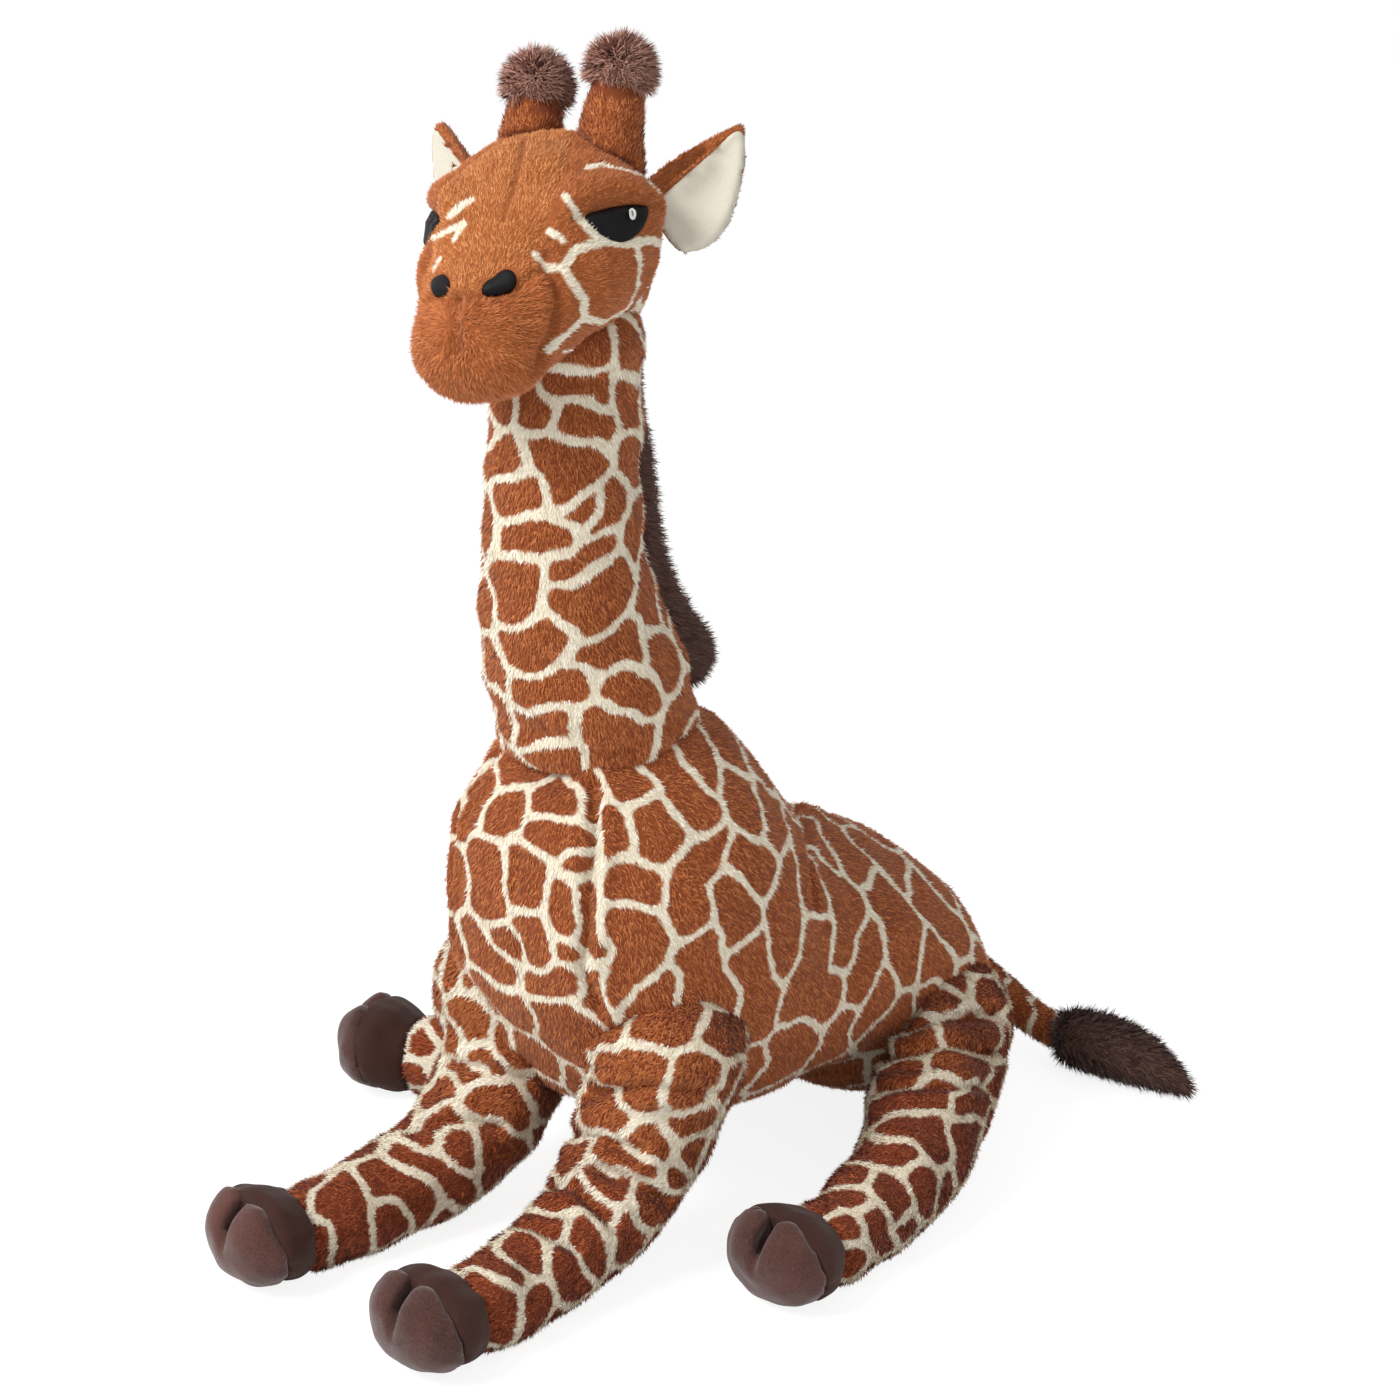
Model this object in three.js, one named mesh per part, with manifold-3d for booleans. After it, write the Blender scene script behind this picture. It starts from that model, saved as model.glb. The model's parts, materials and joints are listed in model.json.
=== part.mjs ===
// A large soft toy giraffe that lies with its chest propped up on its front legs.
// Millimetres. It faces -Y, its left is +X, and what it rests on is the plane z = 0.
// Each sewn and filled piece is one solid: its cover and the filling inside it.

import * as THREE from 'three';
import { mergeVertices } from 'three/addons/utils/BufferGeometryUtils.js';
import Module from 'manifold-3d';

const wasm = await Module();
wasm.setup();

// Fits
const seamGap = 0.3; // between two pieces that are sewn together
const socketGap = 1.2; // all round the ball end of a limb in its socket
const socketSlack = 0.1; // how far the rest of a limb may stand out past its ball in there
const sweepGap = 1; // between a limb and the larger piece that it swings past
const restCut = 0.5; // how deep a soft form is pressed flat where it rests
const overrun = 40; // how far a cutter runs past what it cuts
const weldDistance = 1e-4; // closer points than this are one point

// How finely the round forms are faceted
const capSteps = 3;
const ballRingShare = 0.57;
const ballSides = 14;
const smallBallSides = 10;
const torsoSides = 20;
const torsoSteps = 10;
const neckSides = 18;
const neckSteps = 10;
const headSides = 20;
const headSteps = 9;
const limbSides = 14;
const limbSteps = 9;
const hoofSteps = 4;
const smallSides = 12;
const smallSteps = 5;
const swingStep = 15; // degrees at most between two places where a limb is cut clear
const fullness = 2.15; // 2 is an oval section and more is a fuller one

// Torso, from the rump to the neck seam
const torsoLength = 400;
const torsoRise = 300;
const torsoWidth = 200;
const torsoDepth = 200;
const rumpRounding = 60;
const rumpSink = 8; // how far its weight lets the rump down
const rumpPress = 7; // what lies lower than this is pressed flat on the ground
const torsoRows = {
  // each row: back, up, half width, half depth; a row that rests on the ground has no height of its own
  shares: [
    [0.862, null, 0.84, 0.74],
    [0.700, null, 0.93, 0.80],
    [0.550, 0.390, 0.92, 0.82],
    [0.350, 0.472, 0.95, 0.95],
    [0.190, 0.560, 1.02, 1.12],
    [0.128, 0.750, 1.01, 1.06],
    [0.102, 0.935, 0.82, 0.84],
    [0.085, 1.040, 0.58, 0.55],
  ],
};

// Neck, from its seam on the torso to the head's pivot
const neckLength = 229;
const neckGirth = 100;
const neckBallRadius = 52;
const neckTopRadius = 40;
const neckPivotBack = 33;
const neckPivotUp = 316;
const neckRows = {
  // each row: back of the pivot, up from the pivot, half width, half depth
  shares: [
    [0.000, 0.010, 1.05, 1.03],
    [-0.020, 0.060, 1.15, 1.15],
    [-0.060, 0.170, 1.12, 1.18],
    [-0.105, 0.310, 0.96, 1.06],
    [-0.128, 0.520, 0.87, 0.92],
    [-0.124, 0.780, 0.83, 0.85],
    [-0.110, 1.000, 0.80, 0.80],
    [-0.105, 1.176, 0.80, 0.80],
  ],
};
const neckLeanLeft = 4;
const neckNod = 8; // degrees each way

// Mane, a strip of long pile up the back of the neck
const maneProud = 30;
const maneWidth = 18;
const maneRows = {
  // each row: height on the neck, half width, how far it stands out
  shares: [
    [0.015, 1.60, 1.70],
    [0.08, 1.40, 1.35],
    [0.15, 1.20, 1.05],
    [0.25, 1.05, 0.90],
    [0.40, 0.95, 0.85],
    [0.65, 0.90, 0.75],
    [0.90, 0.85, 0.70],
    [1.04, 0.70, 0.60],
  ],
};

// Head, about its pivot at the top of the neck
const headLength = 160;
const headWidth = 128;
const headDepth = 112;
const headYaw = 14; // degrees to its left
const headRoll = 6; // degrees, its left side up
const headNod = 10; // degrees each way
const skullRounding = 46;
const noseRounding = 27;
const headRows = {
  // each row: forward, up, half width, half depth
  shares: [
    [-0.290, 0.400, 0.86, 0.86],
    [-0.130, 0.400, 0.92, 0.92],
    [0.060, 0.385, 1.01, 0.96],
    [0.250, 0.290, 0.95, 0.85],
    [0.410, 0.175, 0.69, 0.65],
    [0.530, 0.085, 0.59, 0.54],
    [0.668, -0.020, 0.55, 0.50],
  ],
};
const muzzleCutForward = 70;
const muzzleCutUp = 20;
const muzzleCutTilt = 40; // degrees

// Horns
const hornSpread = 50;
const hornShiftLeft = 6;
const hornBack = 4;
const hornFootUp = 92;
const hornTopUp = 145;
const hornDropRight = 6;
const hornLeanBack = 14;
const hornLeanLeft = 6;
const hornLeanOut = 2;
const hornFootWidth = 36;
const hornFootShare = 1.28;
const hornTopWidth = 27;
const hornTuftWidth = 41;

// Ears
const earLength = 68;
const earWidth = 78;
const earUpperShare = 0.26; // how wide it is above its middle, out of below it
const earLiningUpperShare = 0.06;
const earThickness = 4.5;
const earLiningThickness = 2;
const earLiningInset = 2.4;
const earLiningStart = 16;
const earCup = 9;
const earRowSteps = 7;
const earColumnSteps = 6;
// each pair: the value at the root and how far it changes to the tip
const earSpreadShares = [0.30, 0.69];
const earCupShares = [0.25, 0.70];
const earSwell = 0.8;
const earBallRadius = 9;
const earRootOut = 50;
const earRootBack = 12;
const earRootUp = 74;
const earRiseLeft = 31; // degrees above level
const earRiseRight = 41; // degrees above level
const earSweepLeft = 46; // degrees back
const earSweepRight = 28; // degrees back
const earFlap = 12; // degrees each way

// Eyes and nostrils, patches that lie on the cover
const patchThickness = 1.6;
const eyeLength = 42;
const eyeHeight = 33;
const eyeLidShare = 0.16; // how high its upper edge curves, out of its lower edge
const eyeForward = 34;
const eyeOut = 57;
const eyeUp = 78;
const eyeSlope = -2; // degrees down towards the nose
const eyeTurn = 38; // degrees from straight sideways towards the front
const eyeSides = 16;
const glintLength = 5;
const glintHeight = 7.5;
const glintBack = 11;
const glintDown = 3.4;
const nostrilLength = 18;
const nostrilHeight = 13;
const nostrilSlope = -14; // degrees down towards the side
const nostrilOut = 18;
const nostrilForward = 94;
const nostrilUp = 48;
const nostrilFacingShares = [0.35, -1, 0.75];

// Legs
const legBallRadius = 43;
const shoulderOut = 60;
const shoulderBack = 20;
const shoulderUp = 122;
const foreReach = 176;
const foreGirth = 86;
const foreSwing = [-15, 12]; // degrees
const hipBallRadius = 41;
const hipOut = 78;
const hipBack = 258;
const hipUp = 66;
const hindReach = 200;
const hindGirth = 84;
const hindSwing = [-20, 8]; // degrees
// each row: out, forward, lift off the ground, girth
const frontLeftRowShares = [
  [0.000, 0.000, 1.00, 0.98],
  [0.006, 0.080, 0.63, 0.97],
  [0.011, 0.180, 0.28, 0.86],
  [0.011, 0.370, 0.06, 0.74],
  [0.034, 0.614, 0.00, 0.65],
  [0.051, 0.795, 0.00, 0.62],
  [0.034, 0.960, 0.00, 0.60],
];
const frontRightRowShares = [
  [0.000, 0.000, 1.00, 0.98],
  [0.000, 0.070, 0.60, 0.97],
  [0.006, 0.160, 0.29, 0.88],
  [0.017, 0.340, 0.06, 0.79],
  [0.040, 0.590, 0.00, 0.69],
  [0.063, 0.807, 0.00, 0.62],
  [0.091, 0.972, 0.00, 0.60],
];
const hindLeftRowShares = [
  [0.020, 0.000, 1.00, 0.95],
  [0.170, 0.220, 0.62, 0.93],
  [0.300, 0.450, 0.20, 0.85],
  [0.375, 0.660, 0.04, 0.76],
  [0.410, 0.850, 0.00, 0.66],
  [0.420, 0.990, 0.00, 0.61],
  [0.415, 1.080, 0.00, 0.60],
];
const hindRightRowShares = [
  [0.020, 0.000, 1.00, 0.95],
  [0.170, 0.240, 0.62, 0.93],
  [0.290, 0.490, 0.20, 0.85],
  [0.370, 0.720, 0.04, 0.76],
  [0.455, 0.880, 0.00, 0.66],
  [0.565, 0.960, 0.00, 0.61],
  [0.625, 0.985, 0.00, 0.60],
];
const legs = [
  { name: 'front_left', side: 1, fore: true, rowShares: frontLeftRowShares },
  { name: 'front_right', side: -1, fore: true, rowShares: frontRightRowShares },
  { name: 'hind_left', side: 1, fore: false, rowShares: hindLeftRowShares },
  { name: 'hind_right', side: -1, fore: false, rowShares: hindRightRowShares },
];

// Hooves
const hoofLength = 50;
const hoofWidth = 74;
const hoofHeight = 55;
const hoofRounding = 22;
const hoofSeam = 26;
const hoofLap = 1; // how far back along the leg it starts, before the leg is cut out of it
const hoofRise = 14;
const hoofSeamTilt = 14; // degrees
// each row: along the hoof, how far it has risen, fullness
const hoofRowShares = [
  [0.00, 0.00, 0.80],
  [0.22, 0.12, 0.93],
  [0.50, 0.42, 1.03],
  [0.78, 0.75, 1.00],
  [1.00, 1.00, 0.90],
];
const cleftWidth = 9;
const cleftLength = 34;
const cleftDepth = 30;

// Tail
const tailBallRadius = 14;
const tailGirth = 22;
const tailRootBack = 338;
const tailRootUp = 84;
const tailReach = 92;
const tailSwing = 15; // degrees each way
// each row: left, back, height, girth
const tailRowShares = [
  [0.00, 0.00, 1.00, 1.00],
  [0.02, 0.20, 0.82, 1.00],
  [0.16, 0.42, 0.48, 0.95],
  [0.45, 0.50, 0.20, 0.92],
  [0.72, 0.50, 0.04, 0.90],
  [0.92, 0.52, 0.00, 0.90],
];
const tailTuftLength = 104;
const tailTuftWidth = 44;
const tailTuftHeight = 44;
// each row: along the tuft, width, height
const tailTuftRowShares = [
  [0.00, 0.62, 0.85],
  [0.12, 0.86, 0.95],
  [0.35, 1.00, 1.00],
  [0.65, 0.86, 0.86],
  [1.00, 0.16, 0.30],
];

// Colours of the pieces
const coatBrown = 0xa5552d;
const faceBrown = 0xb96e37;
const darkBrown = 0x48302a;
const soleBrown = 0x5f413e;
const maneBrown = 0x503a37;
const hornTuftBrown = 0x7d5a50;
const liningWhite = 0xd2cdbe;
const patchBlack = 0x191619;
const glintWhite = 0xdddddd;

const rad = THREE.MathUtils.degToRad;
const toyX = new THREE.Vector3(1, 0, 0);
const toyZ = new THREE.Vector3(0, 0, 1);

// Solids

function solid(geometry) {
  let plain = geometry;
  if (geometry.attributes.normal) {
    plain = geometry.clone();
    plain.deleteAttribute('normal');
    plain.deleteAttribute('uv');
    plain = mergeVertices(plain, weldDistance);
  }
  return new wasm.Manifold(new wasm.Mesh({
    numProp: 3,
    vertProperties: new Float32Array(plain.attributes.position.array),
    triVerts: new Uint32Array(plain.index.array),
  }));
}

function geometryOf(manifold) {
  const mesh = manifold.getMesh();
  const geometry = new THREE.BufferGeometry();
  const points = new Float32Array(mesh.numVert * 3);
  for (let i = 0; i < mesh.numVert; i += 1) {
    for (let k = 0; k < 3; k += 1) {
      points[i * 3 + k] = mesh.vertProperties[i * mesh.numProp + k];
    }
  }
  geometry.setAttribute('position', new THREE.BufferAttribute(points, 3));
  geometry.setIndex(new THREE.BufferAttribute(new Uint32Array(mesh.triVerts), 1));
  return geometry;
}

function transformed(geometry, matrix) {
  return geometry.clone().applyMatrix4(matrix);
}

// A swept body with an oval section that changes along its line. The line's first and last stretch
// round off over the two lengths in `rounding`, or end flat where that is zero. Each section is square
// to the line, with its width along `across`. `grow` makes it larger all round.
function sweep({ rows, steps, sides, across = toyX, rounding = [0, 0], squareness = 2, grow = 0 }) {
  const line = new THREE.CatmullRomCurve3(rows.map((row) => row.at));
  const size = new THREE.CatmullRomCurve3(rows.map((row) => new THREE.Vector3(row.wide, row.deep, 0)));
  const length = line.getLength();
  const places = stationPlaces(length, rounding, steps);
  const positions = [];
  const index = [];
  const rings = places.map((place) => {
    const share = Math.min(1, place.along / length);
    const t = line.getUtoTmapping(share);
    const tangent = line.getTangent(t).normalize();
    const centre = line.getPoint(t);
    if (place.end !== 0) centre.addScaledVector(tangent, grow * place.end);
    const side = across.clone().addScaledVector(tangent, -across.dot(tangent)).normalize();
    const up = new THREE.Vector3().crossVectors(tangent, side);
    const half = size.getPoint(t);
    return { centre, side, up, wide: half.x * place.full + grow, deep: half.y * place.full + grow, place };
  });
  const first = positions.push(...rings[0].centre.toArray()) / 3 - 1;
  const open = rings.filter((ring) => ring.place.full > 0);
  for (const ring of open) {
    for (let j = 0; j < sides; j += 1) {
      const angle = (2 * Math.PI * j) / sides;
      const c = Math.cos(angle);
      const s = Math.sin(angle);
      const x = Math.sign(c) * Math.abs(c) ** (2 / squareness) * ring.wide;
      const y = Math.sign(s) * Math.abs(s) ** (2 / squareness) * ring.deep;
      const point = ring.centre.clone().addScaledVector(ring.side, x).addScaledVector(ring.up, y);
      positions.push(...point.toArray());
    }
  }
  const last = positions.push(...rings[rings.length - 1].centre.toArray()) / 3 - 1;
  const at = (i, j) => 1 + i * sides + (j % sides);
  for (let j = 0; j < sides; j += 1) {
    index.push(first, at(0, j + 1), at(0, j));
    for (let i = 0; i + 1 < open.length; i += 1) {
      index.push(at(i, j), at(i, j + 1), at(i + 1, j + 1));
      index.push(at(i, j), at(i + 1, j + 1), at(i + 1, j));
    }
    index.push(at(open.length - 1, j), at(open.length - 1, j + 1), last);
  }
  const geometry = new THREE.BufferGeometry();
  geometry.setAttribute('position', new THREE.BufferAttribute(new Float32Array(positions), 3));
  geometry.setIndex(index);
  return geometry;
}

// Where the sections of a sweep stand: closer together where an end rounds off.
function stationPlaces(length, rounding, steps) {
  const places = [];
  const [start, finish] = rounding;
  if (start > 0) {
    for (let i = 0; i < capSteps; i += 1) {
      const angle = (Math.PI / 2) * (i / capSteps);
      places.push({ along: start * (1 - Math.cos(angle)), full: Math.sin(angle), end: i ? 0 : -1 });
    }
  } else {
    places.push({ along: 0, full: 0, end: -1 });
  }
  for (let i = 0; i <= steps; i += 1) {
    const flat = (i === 0 && start === 0 && -1) || (i === steps && finish === 0 && 1) || 0;
    places.push({ along: start + ((length - start - finish) * i) / steps, full: 1, end: flat });
  }
  if (finish > 0) {
    for (let i = capSteps - 1; i >= 0; i -= 1) {
      const angle = (Math.PI / 2) * (i / capSteps);
      places.push({ along: length - finish * (1 - Math.cos(angle)), full: Math.sin(angle), end: i ? 0 : 1 });
    }
  } else {
    places.push({ along: length, full: 0, end: 1 });
  }
  return places;
}

// A ball whose poles lie on the axis that it turns about.
function ballAt(radius, axis, centre, sides = ballSides, poleRadius = radius) {
  const geometry = new THREE.SphereGeometry(1, sides, Math.round(sides * ballRingShare));
  geometry.scale(radius, poleRadius, radius);
  const turn = new THREE.Quaternion().setFromUnitVectors(new THREE.Vector3(0, 1, 0), axis);
  return solid(geometry.applyQuaternion(turn).translate(centre.x, centre.y, centre.z));
}

// The socket for a ball: its facets stay clear of the ball however that turns about the axis, and at
// the two ends of the axis it is as near as a seam.
function socketAt(radius, gap, axis, centre, sides = ballSides) {
  const around = radius / Math.cos(Math.PI / sides) + gap;
  return ballAt(around, axis, centre, sides, radius + Math.min(gap, seamGap));
}

// Everything below what the toy rests on.
function floorBlock(depth) {
  const reach = torsoLength * 4;
  return solid(new THREE.BoxGeometry(reach, reach, depth).translate(0, 0, -depth / 2));
}

// Cuts `piece` clear of `larger` at rest and wherever it swings about `pivot`.
function clearOf(piece, larger, pivot, axis, angles) {
  let result = piece;
  for (const angle of angles) {
    const turn = new THREE.Matrix4().makeRotationAxis(axis, rad(-angle));
    const about = new THREE.Matrix4().makeTranslation(pivot.x, pivot.y, pivot.z);
    about.multiply(turn).multiply(new THREE.Matrix4().makeTranslation(-pivot.x, -pivot.y, -pivot.z));
    result = result.subtract(solid(transformed(larger, about)));
  }
  return result;
}

function swingSteps(low, high) {
  const steps = Math.ceil((high - low) / swingStep);
  return Array.from({ length: steps + 1 }, (_, i) => low + ((high - low) * i) / steps);
}

function plush(color) {
  return new THREE.MeshStandardMaterial({ color, roughness: 0.95, metalness: 0 });
}

function place(group, name, manifold, color) {
  const mesh = new THREE.Mesh(geometryOf(manifold), plush(color));
  mesh.name = name;
  group.add(mesh);
  return mesh;
}

// Torso

const neckPivot = new THREE.Vector3(0, neckPivotBack, neckPivotUp);
const tailPivot = new THREE.Vector3(0, tailRootBack, tailRootUp);

function legPivot(leg) {
  const out = leg.fore ? shoulderOut : hipOut;
  return new THREE.Vector3(leg.side * out, leg.fore ? shoulderBack : hipBack, leg.fore ? shoulderUp : hipUp);
}

function torsoForm(grow) {
  const rows = torsoRows.shares.map(([back, up, wide, deep]) => {
    const half = (deep * torsoDepth) / 2;
    const height = up === null ? half - restCut - rumpSink : up * torsoRise;
    return { at: new THREE.Vector3(0, back * torsoLength, height), wide: (wide * torsoWidth) / 2, deep: half };
  });
  const rounding = [rumpRounding, 0];
  const form = sweep({ rows, rounding, steps: torsoSteps, sides: torsoSides, squareness: fullness, grow });
  const points = form.attributes.position;
  for (let i = 0; i < points.count; i += 1) {
    if (points.getZ(i) < rumpPress - grow) points.setZ(i, -restCut - grow);
  }
  return form;
}

function torsoSolid(grow, gap) {
  let torso = solid(torsoForm(grow)).subtract(socketAt(neckBallRadius, gap, toyX, neckPivot));
  for (const leg of legs) {
    torso = torso.subtract(socketAt(leg.fore ? legBallRadius : hipBallRadius, gap, toyX, legPivot(leg)));
  }
  return torso.subtract(socketAt(tailBallRadius, gap, toyZ, tailPivot, smallBallSides));
}

const torsoClear = geometryOf(torsoSolid(sweepGap, socketSlack));

// Neck

function neckPoint(back, up) {
  return neckPivot.clone().add(new THREE.Vector3(up * neckLeanLeft, back * neckLength, up * neckLength));
}

function neckForm(grow) {
  const rows = neckRows.shares.map(([back, up, wide, deep]) => ({
    at: neckPoint(back, up),
    wide: (wide * neckGirth) / 2,
    deep: (deep * neckGirth) / 2,
  }));
  return sweep({ rows, rounding: [0, neckTopRadius], steps: neckSteps, sides: neckSides, grow });
}

const neckBackLine = new THREE.CatmullRomCurve3(neckRows.shares.map(([back, up, , deep]) => (
  neckPoint(back, up).add(new THREE.Vector3(0, (deep * neckGirth) / 2, 0))
)));
const headPivot = neckPoint(neckRows.shares.find(([, up]) => up === 1)[0], 1);
const neckSwing = swingSteps(-neckNod, neckNod);
const neck = clearOf(
  solid(neckForm(0)).add(ballAt(neckBallRadius, toyX, neckPivot)),
  torsoClear,
  neckPivot,
  toyX,
  neckSwing,
);

// Mane

// The point at the back of the neck at a share of its height.
function behindNeck(up) {
  const height = neckPivot.z + up * neckLength;
  const points = neckBackLine.getPoints(neckLength);
  const near = points.findLast((point) => point.z <= height) ?? points[0];
  return new THREE.Vector3(near.x, near.y, height);
}

function maneSolid() {
  const rows = maneRows.shares.map(([up, wide, proud]) => {
    const at = behindNeck(up);
    at.y += (proud * maneProud - overrun / 2) / 2;
    return { at, wide: (wide * maneWidth) / 2, deep: (proud * maneProud + overrun / 2) / 2 };
  });
  const form = sweep({ rows, rounding: [maneWidth, maneWidth / 2], steps: limbSteps, sides: smallSides });
  const clear = solid(neckForm(seamGap)).add(ballAt(neckBallRadius + seamGap, toyX, neckPivot));
  return clearOf(solid(form).subtract(clear), torsoClear, neckPivot, toyX, neckSwing);
}

// Head, in its own frame about its pivot: its left is +X and its nose points to -Y

function headForm(grow) {
  const rows = headRows.shares.map(([forward, up, wide, deep]) => ({
    at: new THREE.Vector3(0, -forward * headLength, up * headLength),
    wide: (wide * headWidth) / 2,
    deep: (deep * headDepth) / 2,
  }));
  const rounding = [skullRounding, noseRounding];
  return sweep({ rows, rounding, steps: headSteps, sides: headSides, squareness: fullness, grow });
}

// The two sides of the seam between the head and the muzzle.
function muzzleSide(gap) {
  const reach = headLength * 2;
  const block = new THREE.BoxGeometry(reach, reach, reach).translate(0, -reach / 2 - gap, 0);
  block.rotateX(rad(muzzleCutTilt));
  return solid(block.translate(0, -muzzleCutForward, muzzleCutUp));
}

const headRotation = new THREE.Euler(0, rad(-headRoll), rad(headYaw), 'ZYX');
const headTurn = new THREE.Matrix4().makeRotationFromEuler(headRotation);
const headPlace = new THREE.Matrix4().makeTranslation(headPivot.x, headPivot.y, headPivot.z).multiply(headTurn);
const neckByHead = geometryOf(solid(neckForm(sweepGap)));
neckByHead.applyMatrix4(headPlace.clone().invert());
const headSwing = swingSteps(-headNod, headNod);
const origin = new THREE.Vector3(0, 0, 0);

function earPivot(side) {
  return new THREE.Vector3(side * earRootOut, earRootBack, earRootUp);
}

function headSolid(grow, gap) {
  let head = solid(headForm(grow));
  for (const side of [1, -1]) {
    head = head.subtract(socketAt(earBallRadius, gap, toyZ, earPivot(side), smallBallSides));
  }
  return head;
}

const headClear = geometryOf(headSolid(sweepGap, socketSlack));
const skin = clearOf(
  headSolid(0, socketGap).subtract(socketAt(neckTopRadius, socketGap, toyX, origin)),
  neckByHead,
  origin,
  toyX,
  headSwing,
);

function hornStem(side) {
  const foot = new THREE.Vector3((side * hornSpread) / 2 + hornShiftLeft, hornBack, hornFootUp);
  const height = side > 0 ? hornTopUp : hornTopUp - hornDropRight;
  const top = new THREE.Vector3(foot.x + side * hornLeanOut + hornLeanLeft, foot.y + hornLeanBack, height);
  const between = (hornFootWidth + hornTopWidth) / 2;
  const rows = [hornFootWidth * hornFootShare, hornFootWidth, between, hornTopWidth].map((width, i, widths) => ({
    at: foot.clone().lerp(top, i / (widths.length - 1)),
    wide: width / 2,
    deep: width / 2,
  }));
  return { top, rows };
}

function hornSolid(side) {
  const { rows } = hornStem(side);
  return solid(sweep({ rows, steps: smallSteps, sides: smallSides })).subtract(solid(headForm(seamGap)));
}

function hornTuftSolid(side) {
  const { top, rows } = hornStem(side);
  const stem = sweep({ rows, steps: smallSteps, sides: smallSides, grow: seamGap });
  return ballAt(hornTuftWidth / 2, toyZ, top, limbSides).subtract(solid(stem));
}

// A cupped leaf whose length runs from its root along X, with its edges curled forward.
function leaf({ near, far, upperShare, inset = 0, start = 0 }) {
  const along = earRowSteps;
  const over = earColumnSteps;
  const positions = [];
  const index = [];
  const halfWidth = (u) => {
    const turn = earSpreadShares[0] + earSpreadShares[1] * u ** earSwell;
    return (earWidth / 2) * Math.sin(Math.PI * turn) ** earSwell;
  };
  for (const depth of [near, far]) {
    for (let i = 0; i <= along; i += 1) {
      const reach = start + ((earLength - inset - start) * i) / along;
      const u = reach / earLength;
      const half = Math.max(halfWidth(u) - inset, inset / 2);
      for (let j = 0; j <= over; j += 1) {
        const v = (2 * j) / over - 1;
        const cup = earCup * v * v * Math.sin(Math.PI * (earCupShares[0] + earCupShares[1] * u));
        positions.push(reach, depth - cup, v * half * (v > 0 ? upperShare : 1));
      }
    }
  }
  const layer = (along + 1) * (over + 1);
  const at = (k, i, j) => k * layer + i * (over + 1) + j;
  const quad = (a, b, c, d) => index.push(a, b, c, a, c, d);
  for (let i = 0; i < along; i += 1) {
    for (let j = 0; j < over; j += 1) {
      quad(at(0, i, j), at(0, i + 1, j), at(0, i + 1, j + 1), at(0, i, j + 1));
      quad(at(1, i, j), at(1, i, j + 1), at(1, i + 1, j + 1), at(1, i + 1, j));
    }
    quad(at(0, i, 0), at(1, i, 0), at(1, i + 1, 0), at(0, i + 1, 0));
    quad(at(0, i, over), at(0, i + 1, over), at(1, i + 1, over), at(1, i, over));
  }
  for (let j = 0; j < over; j += 1) {
    quad(at(0, 0, j), at(0, 0, j + 1), at(1, 0, j + 1), at(1, 0, j));
    quad(at(0, along, j), at(1, along, j), at(1, along, j + 1), at(0, along, j + 1));
  }
  const geometry = new THREE.BufferGeometry();
  geometry.setAttribute('position', new THREE.BufferAttribute(new Float32Array(positions), 3));
  geometry.setIndex(index);
  return geometry;
}

// Turns an ear from its own frame, with its length along X, to where it stands on the head.
function earPlace(side) {
  const turn = new THREE.Matrix4().makeRotationZ(rad(side > 0 ? earSweepLeft : earSweepRight));
  turn.multiply(new THREE.Matrix4().makeRotationY(rad(side > 0 ? -earRiseLeft : -earRiseRight)));
  const pivot = earPivot(1);
  const move = new THREE.Matrix4().makeTranslation(pivot.x, pivot.y, pivot.z).multiply(turn);
  return side > 0 ? move : new THREE.Matrix4().makeScale(-1, 1, 1).multiply(move);
}

function mirrorSafe(geometry, matrix) {
  const result = transformed(geometry, matrix);
  if (matrix.determinant() < 0) {
    const flipped = Array.from(result.index.array);
    for (let i = 0; i < flipped.length; i += 3) {
      [flipped[i], flipped[i + 1]] = [flipped[i + 1], flipped[i]];
    }
    result.setIndex(flipped);
  }
  return result;
}

function earSolids(side) {
  const flaps = swingSteps(-earFlap, earFlap);
  const pivot = earPivot(side);
  const outer = leaf({ near: 0, far: earThickness, upperShare: earUpperShare });
  const inner = leaf({
    near: -seamGap - earLiningThickness,
    far: -seamGap,
    upperShare: earLiningUpperShare,
    inset: earLiningInset,
    start: earLiningStart,
  });
  const cover = solid(mirrorSafe(outer, earPlace(side))).add(ballAt(earBallRadius, toyZ, pivot, smallBallSides));
  return {
    cover: clearOf(cover, headClear, pivot, toyZ, flaps),
    lining: clearOf(solid(mirrorSafe(inner, earPlace(side))), headClear, pivot, toyZ, flaps),
  };
}

// A patch that lies on the head's cover: an outline pushed along `aim` through a thin layer of it.
function patch(outline, frame, from, to) {
  const depth = headWidth / 2;
  const shape = new THREE.Shape(outline);
  const prism = new THREE.ExtrudeGeometry(shape, { depth, bevelEnabled: false });
  const layer = solid(headForm(to)).subtract(solid(headForm(from)));
  return layer.intersect(solid(prism.translate(0, 0, -depth / 2).applyMatrix4(frame)));
}

function oval(width, height, points = smallSides) {
  return Array.from({ length: points }, (_, i) => {
    const angle = (2 * Math.PI * i) / points;
    return new THREE.Vector2((width / 2) * Math.cos(angle), (height / 2) * Math.sin(angle));
  });
}

// Half a lens: a nearly straight upper edge under the brow and a round lower edge.
function eyeOutline() {
  return oval(eyeLength, eyeHeight, eyeSides).map((point) => (
    point.y > 0 ? new THREE.Vector2(point.x, point.y * eyeLidShare) : point
  ));
}

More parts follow.
